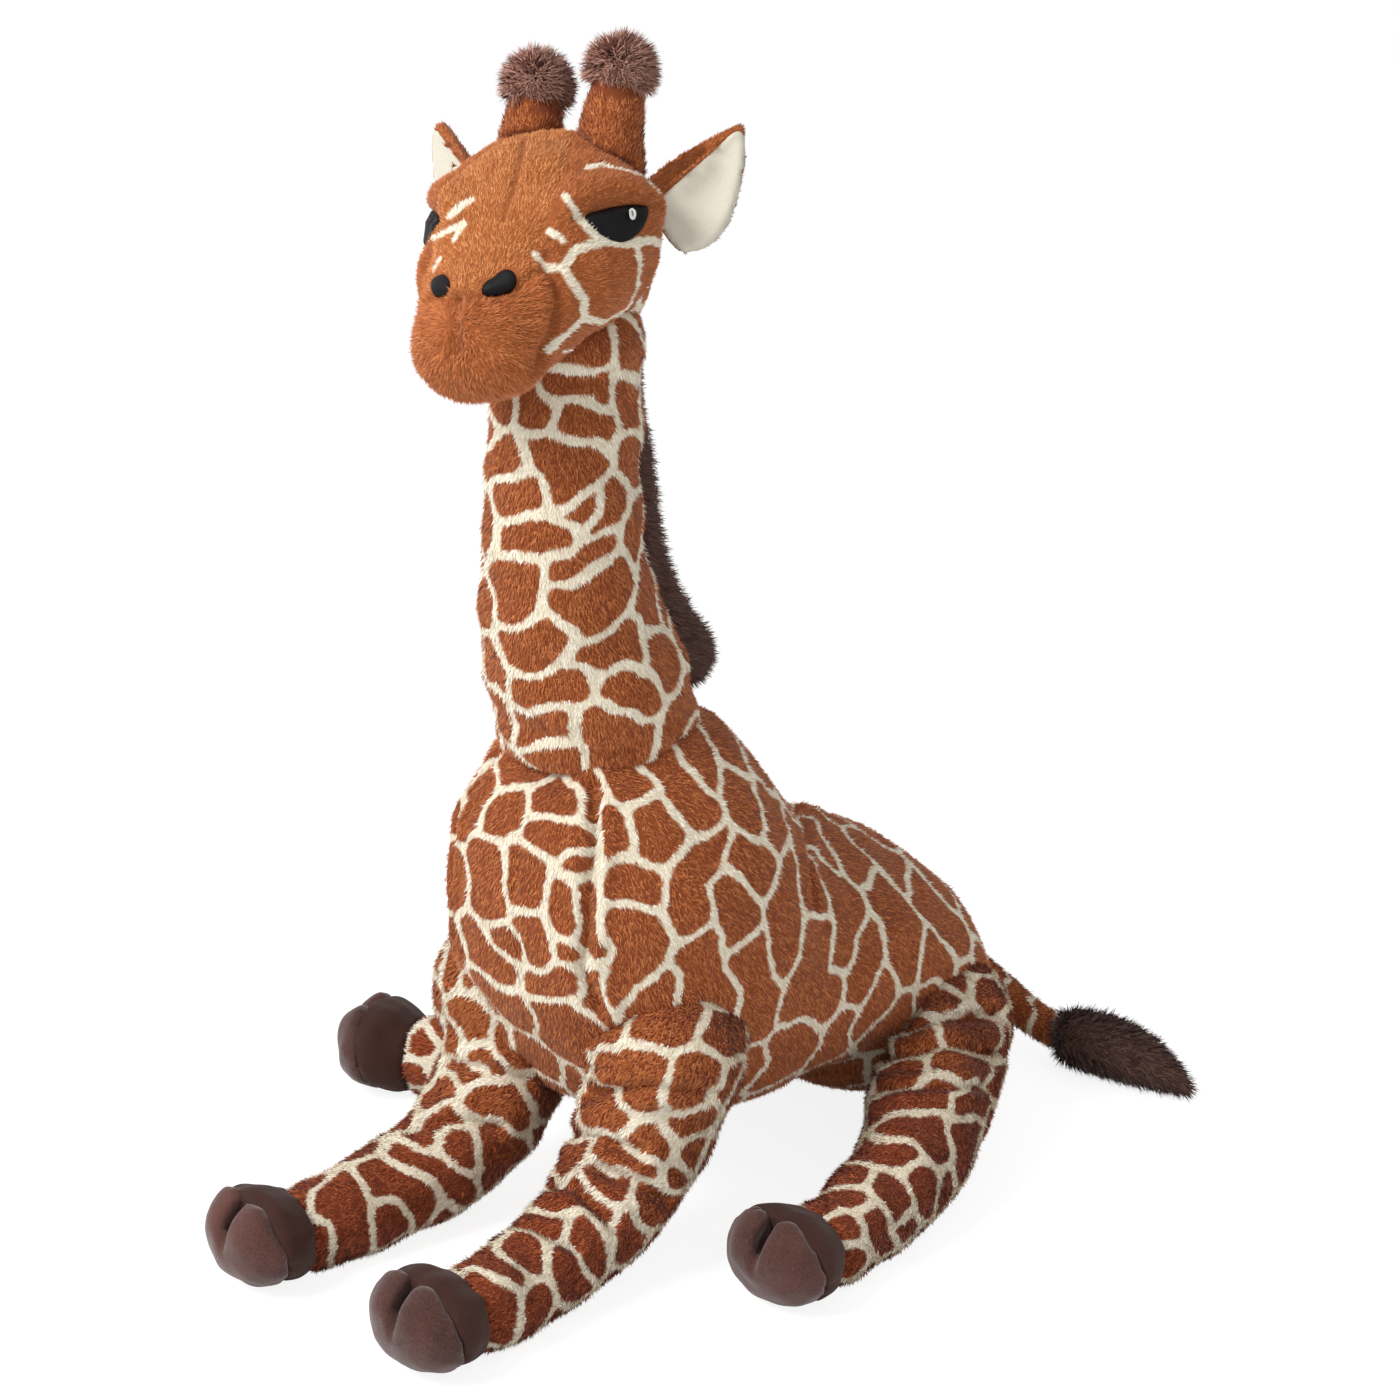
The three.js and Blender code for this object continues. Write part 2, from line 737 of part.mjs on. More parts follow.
// The frame of a patch: its outward direction, and its own X laid level and then sloped.
function patchFrame(side, centre, outward, slope) {
  const z = outward.clone().normalize();
  const x = new THREE.Vector3().crossVectors(toyZ, z).normalize();
  const y = new THREE.Vector3().crossVectors(z, x);
  const basis = new THREE.Matrix4().makeBasis(x, y, z);
  const tilt = new THREE.Matrix4().makeRotationZ(side * rad(slope));
  return new THREE.Matrix4().makeTranslation(centre.x, centre.y, centre.z).multiply(basis).multiply(tilt);
}

function eyeFrame(side) {
  const outward = new THREE.Vector3(side * Math.cos(rad(eyeTurn)), -Math.sin(rad(eyeTurn)), 0);
  return patchFrame(side, new THREE.Vector3(side * eyeOut, -eyeForward, eyeUp), outward, eyeSlope);
}

function eyeSolid(side) {
  return patch(eyeOutline(), eyeFrame(side), seamGap, seamGap + patchThickness);
}

function glintSolid(side) {
  const shift = new THREE.Matrix4().makeTranslation(side * glintBack, -glintDown, 0);
  const frame = eyeFrame(side).multiply(shift);
  const foot = seamGap + patchThickness + seamGap;
  return patch(oval(glintLength, glintHeight), frame, foot, foot + patchThickness / 2);
}

function nostrilSolid(side) {
  const [out, back, up] = nostrilFacingShares;
  const outward = new THREE.Vector3(side * out, back, up);
  const centre = new THREE.Vector3(side * nostrilOut, -nostrilForward, nostrilUp);
  const frame = patchFrame(side, centre, outward, nostrilSlope);
  return patch(oval(nostrilLength, nostrilHeight), frame, seamGap, seamGap + patchThickness);
}

// Legs, each in its own frame about its shoulder or hip

function legRows(leg) {
  const girth = leg.fore ? foreGirth : hindGirth;
  const reach = leg.fore ? foreReach : hindReach;
  const pivot = legPivot(leg);
  return leg.rowShares.map(([out, forward, lift, thick]) => {
    const half = (thick * girth) / 2;
    const ground = half - restCut;
    const up = ground + lift * (pivot.z - ground);
    return {
      at: new THREE.Vector3(leg.side * out * reach, -forward * reach, up - pivot.z),
      wide: half,
      deep: half,
    };
  });
}

function legForm(leg, grow) {
  return sweep({ rows: legRows(leg), steps: limbSteps, sides: limbSides, grow });
}

function legSolid(leg) {
  const pivot = legPivot(leg);
  const radius = leg.fore ? legBallRadius : hipBallRadius;
  const swing = swingSteps(...(leg.fore ? foreSwing : hindSwing));
  const torso = transformed(torsoClear, new THREE.Matrix4().makeTranslation(-pivot.x, -pivot.y, -pivot.z));
  const whole = solid(legForm(leg, 0)).add(ballAt(radius, toyX, origin));
  return onGround(clearOf(whole, torso, origin, toyX, swing), pivot);
}

function onGround(manifold, pivot) {
  const block = geometryOf(floorBlock(hoofHeight)).translate(-pivot.x, -pivot.y, -pivot.z);
  return manifold.subtract(solid(block));
}

// The end of a leg and the way it points.
function legEnd(leg) {
  const rows = legRows(leg);
  const last = rows[rows.length - 1];
  const before = rows[rows.length - 2];
  const ahead = last.at.clone().sub(before.at).normalize();
  return { at: last.at, half: last.wide, ahead };
}

function hoofSolids(leg) {
  const { at, half, ahead } = legEnd(leg);
  const pivot = legPivot(leg);
  const centre = at.z + hoofRise / 2;
  const rows = hoofRowShares.map(([along, rise, full]) => {
    const point = at.clone().addScaledVector(ahead, along * (hoofLength + hoofLap) - hoofLap);
    point.z = at.z + rise * hoofRise;
    const wide = along === 0 ? half : (full * hoofWidth) / 2;
    const deep = along === 0 ? half : (full * hoofHeight) / 2;
    return { at: point, wide, deep };
  });
  const across = new THREE.Vector3(-ahead.y, ahead.x, 0).normalize();
  const toeOut = Math.atan2(ahead.x, -ahead.y);
  const form = sweep({ rows, across, rounding: [0, hoofRounding], steps: hoofSteps, sides: limbSides });
  const hoof = onGround(solid(form).subtract(solid(legForm(leg, seamGap))), pivot);
  const seam = at.clone().addScaledVector(ahead, hoofSeam);
  seam.z = centre;
  const reach = hoofLength * 2;
  const seamSide = (way) => {
    const block = new THREE.BoxGeometry(reach, reach, reach).translate(0, (way * (reach + seamGap)) / 2, 0);
    block.rotateX(rad(hoofSeamTilt)).rotateZ(toeOut);
    return solid(block.translate(seam.x, seam.y, seam.z));
  };
  const cleft = new THREE.SphereGeometry(1, smallSides, smallSides / 2);
  cleft.scale(cleftWidth / 2, cleftLength / 2, cleftDepth / 2).rotateZ(toeOut);
  const notch = at.clone().addScaledVector(ahead, hoofLength - hoofRounding / 4);
  cleft.translate(notch.x, notch.y, centre + hoofHeight / 2 - cleftDepth / 6);
  return {
    wrap: hoof.intersect(seamSide(1)),
    sole: hoof.intersect(seamSide(-1)).subtract(solid(cleft)),
  };
}

// Tail, in its own frame about its root

function tailRows() {
  const end = tailPivot.z;
  return tailRowShares.map(([left, back, height, thick]) => {
    const half = (thick * tailGirth) / 2;
    const ground = tailTuftHeight / 2 - restCut;
    return {
      at: new THREE.Vector3(left * tailReach, back * tailReach, ground + height * (end - ground) - end),
      wide: half,
      deep: half,
    };
  });
}

function tailForm(grow) {
  return sweep({ rows: tailRows(), across: toyZ, steps: limbSteps, sides: smallSides, grow });
}

function tailSolid() {
  const torso = transformed(torsoClear, new THREE.Matrix4().makeTranslation(0, -tailPivot.y, -tailPivot.z));
  const whole = solid(tailForm(0)).add(ballAt(tailBallRadius, toyZ, origin, smallBallSides));
  return clearOf(whole, torso, origin, toyZ, swingSteps(-tailSwing, tailSwing));
}

function tailTuftSolid() {
  const rows = tailRows();
  const last = rows[rows.length - 1].at;
  const ahead = last.clone().sub(rows[rows.length - 2].at).setZ(0).normalize();
  const start = last.clone().addScaledVector(ahead, -tailGirth / 4);
  const form = sweep({
    rows: tailTuftRowShares.map(([along, wide, high]) => {
      const at = start.clone().addScaledVector(ahead, along * tailTuftLength);
      at.z = (high * tailTuftHeight) / 2 - restCut - tailPivot.z;
      return { at, wide: (wide * tailTuftWidth) / 2, deep: (high * tailTuftHeight) / 2 };
    }),
    across: new THREE.Vector3(-ahead.y, ahead.x, 0),
    rounding: [tailGirth / 2, tailGirth / 4],
    steps: smallSteps,
    sides: smallSides,
  });
  return onGround(solid(form).subtract(solid(tailForm(seamGap))), tailPivot);
}

// The toy

const giraffe = new THREE.Group();
place(giraffe, 'torso', torsoSolid(0, socketGap).subtract(floorBlock(torsoDepth)), coatBrown);
place(giraffe, 'neck', neck, coatBrown);
place(giraffe, 'mane', maneSolid(), maneBrown);

const head = new THREE.Group();
head.position.copy(headPivot);
head.rotation.copy(headRotation);
giraffe.add(head);
place(head, 'head', skin.subtract(muzzleSide(-seamGap / 2)), coatBrown);
place(head, 'muzzle', skin.intersect(muzzleSide(seamGap / 2)), faceBrown);
for (const [word, side] of [['left', 1], ['right', -1]]) {
  const ear = earSolids(side);
  place(head, `horn_${word}`, hornSolid(side), coatBrown);
  place(head, `horn_tuft_${word}`, hornTuftSolid(side), hornTuftBrown);
  place(head, `ear_${word}`, ear.cover, coatBrown);
  place(head, `ear_lining_${word}`, ear.lining, liningWhite);
  place(head, `eye_${word}`, eyeSolid(side), patchBlack);
  place(head, `eye_glint_${word}`, glintSolid(side), glintWhite);
  place(head, `nostril_${word}`, nostrilSolid(side), patchBlack);
}

for (const leg of legs) {
  const limb = new THREE.Group();
  limb.position.copy(legPivot(leg));
  giraffe.add(limb);
  const hoof = hoofSolids(leg);
  place(limb, `leg_${leg.name}`, legSolid(leg), coatBrown);
  place(limb, `hoof_wrap_${leg.name}`, hoof.wrap, darkBrown);
  place(limb, `hoof_sole_${leg.name}`, hoof.sole, soleBrown);
}

const tail = new THREE.Group();
tail.position.copy(tailPivot);
giraffe.add(tail);
place(tail, 'tail', tailSolid(), coatBrown);
place(tail, 'tail_tuft', tailTuftSolid(), maneBrown);

// The origin is under the middle of the toy, on the plane it rests on.
const extent = new THREE.Box3().setFromObject(giraffe, true);
const middle = extent.getCenter(new THREE.Vector3());
giraffe.position.set(-middle.x, -middle.y, 0);
const toy = new THREE.Group();
toy.add(giraffe);

export default toy;
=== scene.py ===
"""The looks of the soft toy giraffe: sewn covers, short pile in a patched coat, long pile and stitching."""
import json
import math

import bmesh
import bpy
import numpy as np
from mathutils import Matrix, Vector
from mathutils.bvhtree import BVHTree
from mathutils.geometry import delaunay_2d_cdt


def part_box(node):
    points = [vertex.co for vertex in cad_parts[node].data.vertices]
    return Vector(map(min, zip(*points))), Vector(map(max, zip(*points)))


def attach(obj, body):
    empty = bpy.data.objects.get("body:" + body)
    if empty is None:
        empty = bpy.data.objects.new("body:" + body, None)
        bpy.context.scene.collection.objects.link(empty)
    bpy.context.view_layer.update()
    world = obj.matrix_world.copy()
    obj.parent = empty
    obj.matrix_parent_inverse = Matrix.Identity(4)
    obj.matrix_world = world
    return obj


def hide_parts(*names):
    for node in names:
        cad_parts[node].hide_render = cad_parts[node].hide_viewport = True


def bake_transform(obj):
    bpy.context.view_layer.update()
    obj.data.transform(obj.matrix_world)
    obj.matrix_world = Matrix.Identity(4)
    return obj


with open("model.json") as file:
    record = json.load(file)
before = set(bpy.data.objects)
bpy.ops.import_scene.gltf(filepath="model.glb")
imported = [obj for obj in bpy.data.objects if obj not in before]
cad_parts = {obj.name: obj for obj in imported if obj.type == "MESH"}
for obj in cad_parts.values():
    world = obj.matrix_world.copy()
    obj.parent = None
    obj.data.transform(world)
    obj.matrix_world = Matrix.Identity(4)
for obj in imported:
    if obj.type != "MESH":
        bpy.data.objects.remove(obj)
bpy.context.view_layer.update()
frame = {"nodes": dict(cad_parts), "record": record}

MM = 0.001
rng = np.random.default_rng(7)
scene = bpy.context.scene

# The camera, worked out from the photo
CAMERA_AZIMUTH = math.radians(43)
CAMERA_ELEVATION = math.radians(19)
CAMERA_DISTANCE = 1750 * MM
CAMERA_TARGET = np.array([138.33, -104.59, 362.0]) * MM
CAMERA_LENS = 81.82
CAMERA_SENSOR = 36
CAMERA_REACH = 200

PHOTO_SIZE = 1400
PHOTO_FOCUS = CAMERA_LENS / CAMERA_SENSOR * PHOTO_SIZE

# The coat's patches in view, each a line through its middle in the photo's pixels
NECK_PATCHES_PX = [
    [(550, 384), (598, 386)], [(560, 356), (595, 354)], [(572, 415), (604, 432)],
    [(548, 452), (592, 465), (562, 492)], [(626, 388), (630, 418)], [(628, 448), (632, 472)],
    [(632, 350), (634, 366)], [(528, 385), (538, 412)], [(492, 402), (502, 398)], [(490, 430)],
    [(490, 462), (506, 460)], [(504, 498), (530, 498)], [(575, 516), (586, 509)], [(618, 495), (602, 525)],
    [(638, 512), (634, 542)], [(486, 512), (488, 535)], [(508, 542), (562, 534)], [(566, 570), (602, 546)],
    [(500, 572), (522, 572), (512, 612)], [(620, 570), (570, 605), (602, 618)], [(645, 570), (650, 615)],
    [(512, 642), (548, 640), (535, 662)], [(590, 660), (628, 642)], [(656, 645), (668, 672)],
    [(490, 650), (497, 678)], [(528, 694), (576, 684)], [(614, 685), (645, 702)], [(690, 690), (674, 726)],
    [(498, 700), (506, 714)], [(528, 728), (556, 722)], [(592, 724), (638, 732), (600, 760)],
    [(548, 764), (568, 762)], [(481, 590), (483, 615)], [(480, 560)],
]
TORSO_PATCHES_PX = [
    [(508, 768), (525, 774)], [(492, 812), (515, 802)], [(545, 803), (570, 803)], [(540, 832), (585, 842)],
    [(484, 862), (490, 902)], [(530, 866), (526, 892)], [(454, 862), (452, 895)], [(488, 782), (475, 812)],
    [(582, 863)], [(565, 898), (572, 925)], [(586, 890), (586, 940)], [(476, 942), (500, 970)],
    [(528, 932), (538, 955)], [(506, 942)], [(570, 955)], [(540, 985), (568, 980)],
    [(487, 990), (515, 1006)], [(550, 1018), (568, 1015), (560, 1036)], [(588, 975), (597, 996)],
    [(593, 785), (594, 815)], [(616, 775), (632, 790)], [(612, 820), (612, 842)],
    [(648, 815), (654, 848), (668, 838)], [(664, 765), (690, 792), (702, 815)], [(695, 745), (708, 772)],
    [(712, 715), (730, 755)], [(745, 740), (757, 770)], [(735, 785), (750, 815)], [(620, 882), (645, 882)],
    [(712, 845), (685, 880), (688, 915)], [(620, 925), (650, 942), (625, 985)],
    [(700, 950), (695, 990), (720, 1000)], [(645, 998), (665, 990)], [(732, 895), (742, 922)],
    [(752, 955), (758, 1015)], [(744, 858), (765, 868)], [(768, 800), (778, 838)], [(790, 865), (782, 950)],
    [(818, 935), (802, 1000), (828, 1000)], [(800, 850), (816, 898)], [(804, 822), (820, 848)],
    [(818, 818), (860, 868)], [(825, 872), (852, 915), (847, 948)], [(848, 820), (880, 830)],
    [(868, 844), (898, 872)], [(880, 890), (905, 930), (908, 965)], [(868, 945), (858, 990)],
    [(918, 887), (958, 938)], [(910, 855), (942, 888)], [(958, 892), (975, 930)], [(930, 960), (948, 972)],
    [(983, 958), (995, 992)], [(963, 980), (972, 998)], [(931, 998)], [(884, 997), (866, 1019)],
    [(842, 1025), (831, 1050)], [(790, 1042), (802, 1052), (776, 1070)], [(745, 1072)],
    [(802, 1082), (828, 1074)], [(882, 1028), (900, 1014)],
]
LEG_PATCHES_PX = {"front_left": [
    [(588, 1030), (612, 1026)], [(646, 1030), (688, 1022)], [(715, 1038), (738, 1035)],
    [(608, 1068), (642, 1066), (640, 1102)], [(700, 1064), (686, 1094)], [(568, 1058)],
    [(590, 1104), (618, 1124)], [(567, 1114), (570, 1130)], [(682, 1130), (700, 1121)], [(690, 1152)],
    [(634, 1139), (664, 1148)], [(606, 1149), (644, 1170)], [(551, 1165), (575, 1156)], [(675, 1178)],
    [(594, 1179), (624, 1191)], [(642, 1196), (663, 1198), (646, 1214)], [(546, 1200), (580, 1194), (602, 1214)],
    [(515, 1222), (550, 1225)], [(628, 1222), (632, 1240)], [(583, 1232), (591, 1254)],
    [(512, 1249), (534, 1261)], [(566, 1262), (572, 1288)], [(481, 1256), (512, 1275)],
    [(486, 1282), (504, 1300), (512, 1324)], [(536, 1297), (532, 1324)], [(535, 1175)],
], "front_right": [
    [(470, 1021), (474, 1035)], [(502, 1046), (530, 1057)], [(477, 1054), (494, 1064)], [(452, 1048)],
    [(457, 1067), (474, 1077)], [(482, 1096), (504, 1096), (520, 1116)], [(541, 1084), (550, 1108)],
    [(436, 1099), (448, 1087)], [(422, 1139), (449, 1124)], [(451, 1132), (460, 1153)],
    [(488, 1142), (518, 1155), (492, 1178)], [(540, 1135)], [(408, 1156), (440, 1166), (464, 1198)],
    [(377, 1179), (410, 1186), (424, 1212)], [(389, 1221), (400, 1240)],
    [(322, 1196), (350, 1192), (355, 1225), (346, 1252)], [(297, 1194), (310, 1186)], [(313, 1247), (316, 1263)],
    [(447, 1215)],
], "hind_left": [
    [(957, 1031), (988, 1036)], [(948, 1066), (982, 1072)], [(906, 1050), (924, 1043)],
    [(889, 1081), (911, 1071)], [(877, 1110), (910, 1098), (948, 1089)], [(966, 1107), (981, 1094)],
    [(892, 1126), (925, 1126), (938, 1153)], [(971, 1132), (963, 1163)], [(864, 1151), (903, 1158)],
    [(830, 1180), (854, 1173)], [(886, 1182), (895, 1196), (903, 1208)], [(923, 1180), (927, 1198)],
    [(946, 1188)], [(820, 1200), (848, 1200)], [(852, 1230)], [(879, 1222), (881, 1253)], [(906, 1225)],
    [(853, 1262)], [(875, 1272)],
], "hind_right": []}
PATCH_STEP_PX = 9
PATCH_LEAP = 20 * MM
PATCH_TRIES = 12000
SEEN_WITHIN = 4 * MM
# The head looks this much to its left and is tilted this much, and the far eye sits this much further forward
# round it than a mirror image of the near one, in degrees
HEAD_TURN = 14
HEAD_TILT = -6
FAR_EYE_TURN = 17

# Cream marks on the left of the face: half the mark's width and its line, in the photo's pixels
CHEEK_MARKS_PX = [
    (7.0, [(583, 221), (592, 231), (602, 240)]), (4.5, [(602, 242), (626, 244), (652, 240), (662, 246)]),
    (4.8, [(604, 240), (576, 250), (563, 268), (572, 283), (584, 300), (584, 318)]),
    (4.0, [(547, 268), (562, 268)]),
    (4.8, [(584, 318), (604, 322), (626, 309), (637, 288), (640, 262), (636, 245)]),
    (5.0, [(584, 318), (568, 333), (549, 350)]), (2.6, [(614, 324), (602, 342), (562, 352)]),
]
BROW_MARKS_PX = [
    (3.8, [(587, 168), (602, 165), (624, 170), (644, 178), (658, 192)]),
    (4.0, [(564, 195), (572, 207), (578, 218)]), (3.8, [(550, 232), (562, 240)]),
    (3.4, [(535, 255), (545, 266)]),
]
FAR_MARKS_PX = [
    (4.0, [(450, 216), (460, 207), (471, 200)]), (3.4, [(454, 240), (464, 224)]),
    (3.2, [(428, 242), (446, 232), (464, 224)]), (3.2, [(418, 264), (424, 248), (430, 240)]),
    (2.6, [(434, 270), (440, 259)]),
]
# Seams, folds and ridges, in the photo's pixels
NECK_RING_PX = [(500, 742), (570, 779), (700, 702)]
CHEST_SEAM_PX = [(520, 790), (519, 830), (516, 860), (513, 905), (516, 940), (521, 985)]
SIDE_SEAM_PX = [(593, 785), (594, 830), (590, 870), (586, 930), (580, 965), (598, 1004)]
WAIST_FOLD_PX = [(796, 792), (800, 830), (806, 870), (812, 900)]
BROW_RIDGE_PX = [(564, 208), (580, 195), (602, 188), (628, 189), (652, 203)]
BROW_FOLD_PX = [(576, 219), (592, 211), (620, 204), (652, 207)]
CHEEK_CREASE_PX = [(545, 258), (553, 280), (557, 303), (551, 332), (538, 358)]
PHILTRUM_PX = [(457, 300), (454, 325), (456, 350)]
NOSE_LINE_PX = [(432, 300), (458, 299), (484, 298), (512, 292), (540, 272)]
NOSE_SEAM_PX = [(524, 140), (520, 165), (513, 190), (503, 222)]
LEG_FOLDS_PX = {
    "front_left": [[(560, 1134), (600, 1138), (640, 1152)], [(600, 1168), (640, 1184), (668, 1200)],
                   [(530, 1192), (575, 1186), (612, 1222)], [(500, 1230), (535, 1228), (575, 1246)],
                   [(590, 1094), (650, 1086), (712, 1092)]],
    "front_right": [[(448, 1062), (490, 1070), (530, 1080)], [(412, 1130), (450, 1118), (500, 1128)]],
    "hind_left": [[(905, 1030), (950, 1018), (1000, 1012)], [(880, 1060), (940, 1044), (1000, 1052)],
                  [(880, 1092), (935, 1084), (990, 1086)]],
    "hind_right": [],
}

# The plain panel and the snout end at this line on the left of the face
PANEL_EDGE_PX = [(573, 136), (565, 160), (560, 188), (544, 228), (532, 256), (548, 274), (553, 292),
                 (550, 324), (540, 342), (528, 368)]
EYE_CENTRE_PX = [(612, 228)]
CHEEK_CENTRE_PX = [(604, 282)]
# Outlines of what is sewn on
EYE_PX = [(582, 216), (600, 210), (624, 205), (641, 204), (649, 208), (646, 221), (639, 233), (629, 241),
          (619, 243), (605, 238), (592, 228)]
NOSTRIL_PX = {
    "left": [(481, 292), (484, 283), (494, 278), (500, 272), (508, 269), (515, 273), (517, 281), (514, 289),
             (508, 294), (496, 297), (486, 297)],
    "right": [(431, 288), (432, 280), (438, 276), (445, 274), (450, 281), (450, 290), (445, 297), (436, 298)],
}
LINING_PX = [(653, 206), (668, 191), (684, 177), (700, 163), (718, 147), (735, 130), (744, 134), (747, 154),
             (742, 180), (735, 204), (727, 226), (715, 243), (696, 251), (678, 252), (662, 247), (655, 228)]

# Colours as they are in the photo, 0 to 255
BROWNS = [(156, 84, 44), (176, 100, 56), (196, 120, 73), (166, 92, 50)]
REDDER_BROWNS = [(132, 59, 31), (154, 75, 43), (175, 94, 58), (142, 66, 37)]
CARAMELS = [(172, 102, 53), (192, 120, 68), (210, 140, 87), (182, 111, 60)]
CREAMS = [(240, 231, 210), (250, 243, 227), (229, 218, 196)]
DARKS = [(74, 50, 44), (92, 66, 59), (112, 85, 77), (82, 58, 51)]
TUFT_BROWNS = [(136, 95, 82), (160, 116, 101), (184, 141, 125), (148, 105, 91)]
WRAP_BROWN = (60, 36, 30)
SOLE_BROWN = (76, 47, 41)
LINING_WHITE = (206, 200, 184)
STITCH_BLACK = (15, 13, 14)
STITCH_WHITE = (226, 226, 222)

# The grounds between the coat's patches, and the backing cloth between the blades of pile, painted darker as
# root shade
GROUND = (220, 209, 186)
LEG_GROUND = (216, 204, 182)
# Grey for the middle of the white ring on each eye: painted shade where its threads lie lower
GLINT_MIDDLE_SHADE = (120, 118, 116)
COAT_BACKING_AND_ROOT_SHADE = (128, 64, 34)
LEG_BACKING_AND_ROOT_SHADE = (108, 49, 28)
FACE_BACKING_AND_ROOT_SHADE = (148, 82, 42)
DARK_BACKING_AND_ROOT_SHADE = (50, 34, 31)
TUFT_BACKING_AND_ROOT_SHADE = (108, 76, 66)
FLOOR_GREY = (246, 246, 246)

# The cloth: voxels of each kind of cover, and half the width of the cream between two patches
COVER_VOXEL = 5 * MM
HEAD_VOXEL = 4 * MM
SMALL_VOXEL = 3 * MM
HOOF_VOXEL = 2.6 * MM
EAR_VOXEL = 1.8 * MM
GLINT_VOXEL = 0.7 * MM
CREAM_HALF_MM = 2.3
NECK_CREAM_HALF_MM = 2.7
LEG_CREAM_HALF_MM = 2.6
CLOTH_FRAMES = 14
PRESSURE = 3.0
HEAD_PRESSURE = 2.5
MOST_PUFFED = 3.5 * MM
# How deep and wide each seam and fold draws the cover in
CHEST_SEAM = {"depth": 2.4 * MM, "width": 3.2 * MM}
SIDE_SEAM = {"depth": 6.0 * MM, "width": 3.6 * MM}
BACK_SEAM = {"depth": 1.5 * MM, "width": 2.6 * MM}
WAIST_SEAM = {"depth": 4.5 * MM, "width": 4.2 * MM}
NECK_SEAM = {"depth": 3.0 * MM, "width": 6 * MM}
LEG_FOLD = {"depth": 4.6 * MM, "width": 3.8 * MM}
HIDDEN_LEG_FOLD = {"depth": 2.4 * MM, "width": 4 * MM}

# The pile: each blade is one triangle
PILE_LENGTH = 3.9 * MM
PILE_WIDTH = 0.85 * MM
PILE_PER_MM2 = 0.85
PILE_MOST = 190000
ROOT_DEPTH = 0.4 * MM
HIDDEN_DEPTH = 3 * MM
BARE_REACH = 1 * MM
OFF_THE_FLOOR = 0.3 * MM
SHADES = 4
MANE_LENGTH_MM = 11
MANE_CUT_MM = 5
HEAD_ROOM = 3 * MM
MOST_MOVED = 12 * MM

# Light and floor
FLOOR_REACH = 40
FLOOR_GLOW = 1.2
GLOW_SHARE = 0.72
SKY_LIGHT = 0.54
LAMPS_AIM = (0, 0, 0.3)

# Points worked on at a time, to spare memory
BATCH = 4000


def linear(color):
    c = np.array(color[:3], float) / 255
    return tuple(np.where(c <= 0.04045, c / 12.92, ((c + 0.055) / 1.055) ** 2.4)) + (1.0,)


def waves(points, size, seed):
    """Smooth noise from about -1 to 1 whose lumps are `size` metres across."""
    count = 7
    r = np.random.default_rng(seed)
    total = np.zeros(len(points))
    for _ in range(count):
        k = r.normal(size=3)
        k *= (2 * math.pi / size) * r.uniform(0.6, 1.5) / np.linalg.norm(k)
        total += np.sin(points @ k + r.uniform(0, 2 * math.pi))
    return total / math.sqrt(count)


def smoothstep(low, high, x):
    t = np.clip((x - low) / (high - low), 0, 1)
    return t * t * (3 - 2 * t)


def unit(v):
    return v / (np.linalg.norm(v, axis=-1, keepdims=True) + 1e-12)


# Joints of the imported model, in metres
joint_records = {j["name"]: j for j in frame["record"]["behaviour"]["joints"]}
joints = {name: np.array(record["pos_m"]) for name, record in joint_records.items()}
head_pivot = joints["head_nod"]
head_turn = np.array(Matrix.Rotation(math.radians(HEAD_TURN), 3, "Z")
                     @ Matrix.Rotation(math.radians(HEAD_TILT), 3, "Y"))


def in_head(points):
    """Points in the head's own frame, in millimetres: its left, backwards, up."""
    return ((points - head_pivot) @ head_turn) / MM


def from_head(points):
    return head_pivot + (np.array(points) * MM) @ head_turn.T


def set_up(thing, **settings):
    """Gives a data block, a modifier or a node its settings."""
    for name, value in settings.items():
        setattr(thing, name, value)
    return thing


def placed(name, data):
    """A new object in the scene."""
    obj = bpy.data.objects.new(name, data)
    scene.collection.objects.link(obj)
    return obj


# Materials

def set_inputs(node, values):
    """Gives a node's inputs their values, and links those whose value is another node's output."""
    for name, value in values.items():
        if isinstance(value, bpy.types.NodeSocket):
            node.id_data.links.new(value, node.inputs[name])
        else:
            node.inputs[name].default_value = value
    return node


def add_node(tree, kind, values=(), output=0, **settings):
    """One output of a new shader node, which gets settings and values for its inputs."""
    made = set_up(tree.nodes.new(f"ShaderNode{kind}"), **settings)
    return set_inputs(made, dict(values)).outputs[output]


def principled(name, color, roughness, sheen=0.0):
    material = bpy.data.materials.new(name)
    material.use_nodes = True
    set_inputs(material.node_tree.nodes["Principled BSDF"], {
        "Base Color": linear(color), "Roughness": roughness, "Specular IOR Level": 0.12,
        "Sheen Weight": sheen, "Sheen Roughness": 0.5,
    })
    return material


def pile_materials(name, colors):
    return [principled(f"{name}_{i}", c, 0.88, 0.12) for i, c in enumerate(colors)]


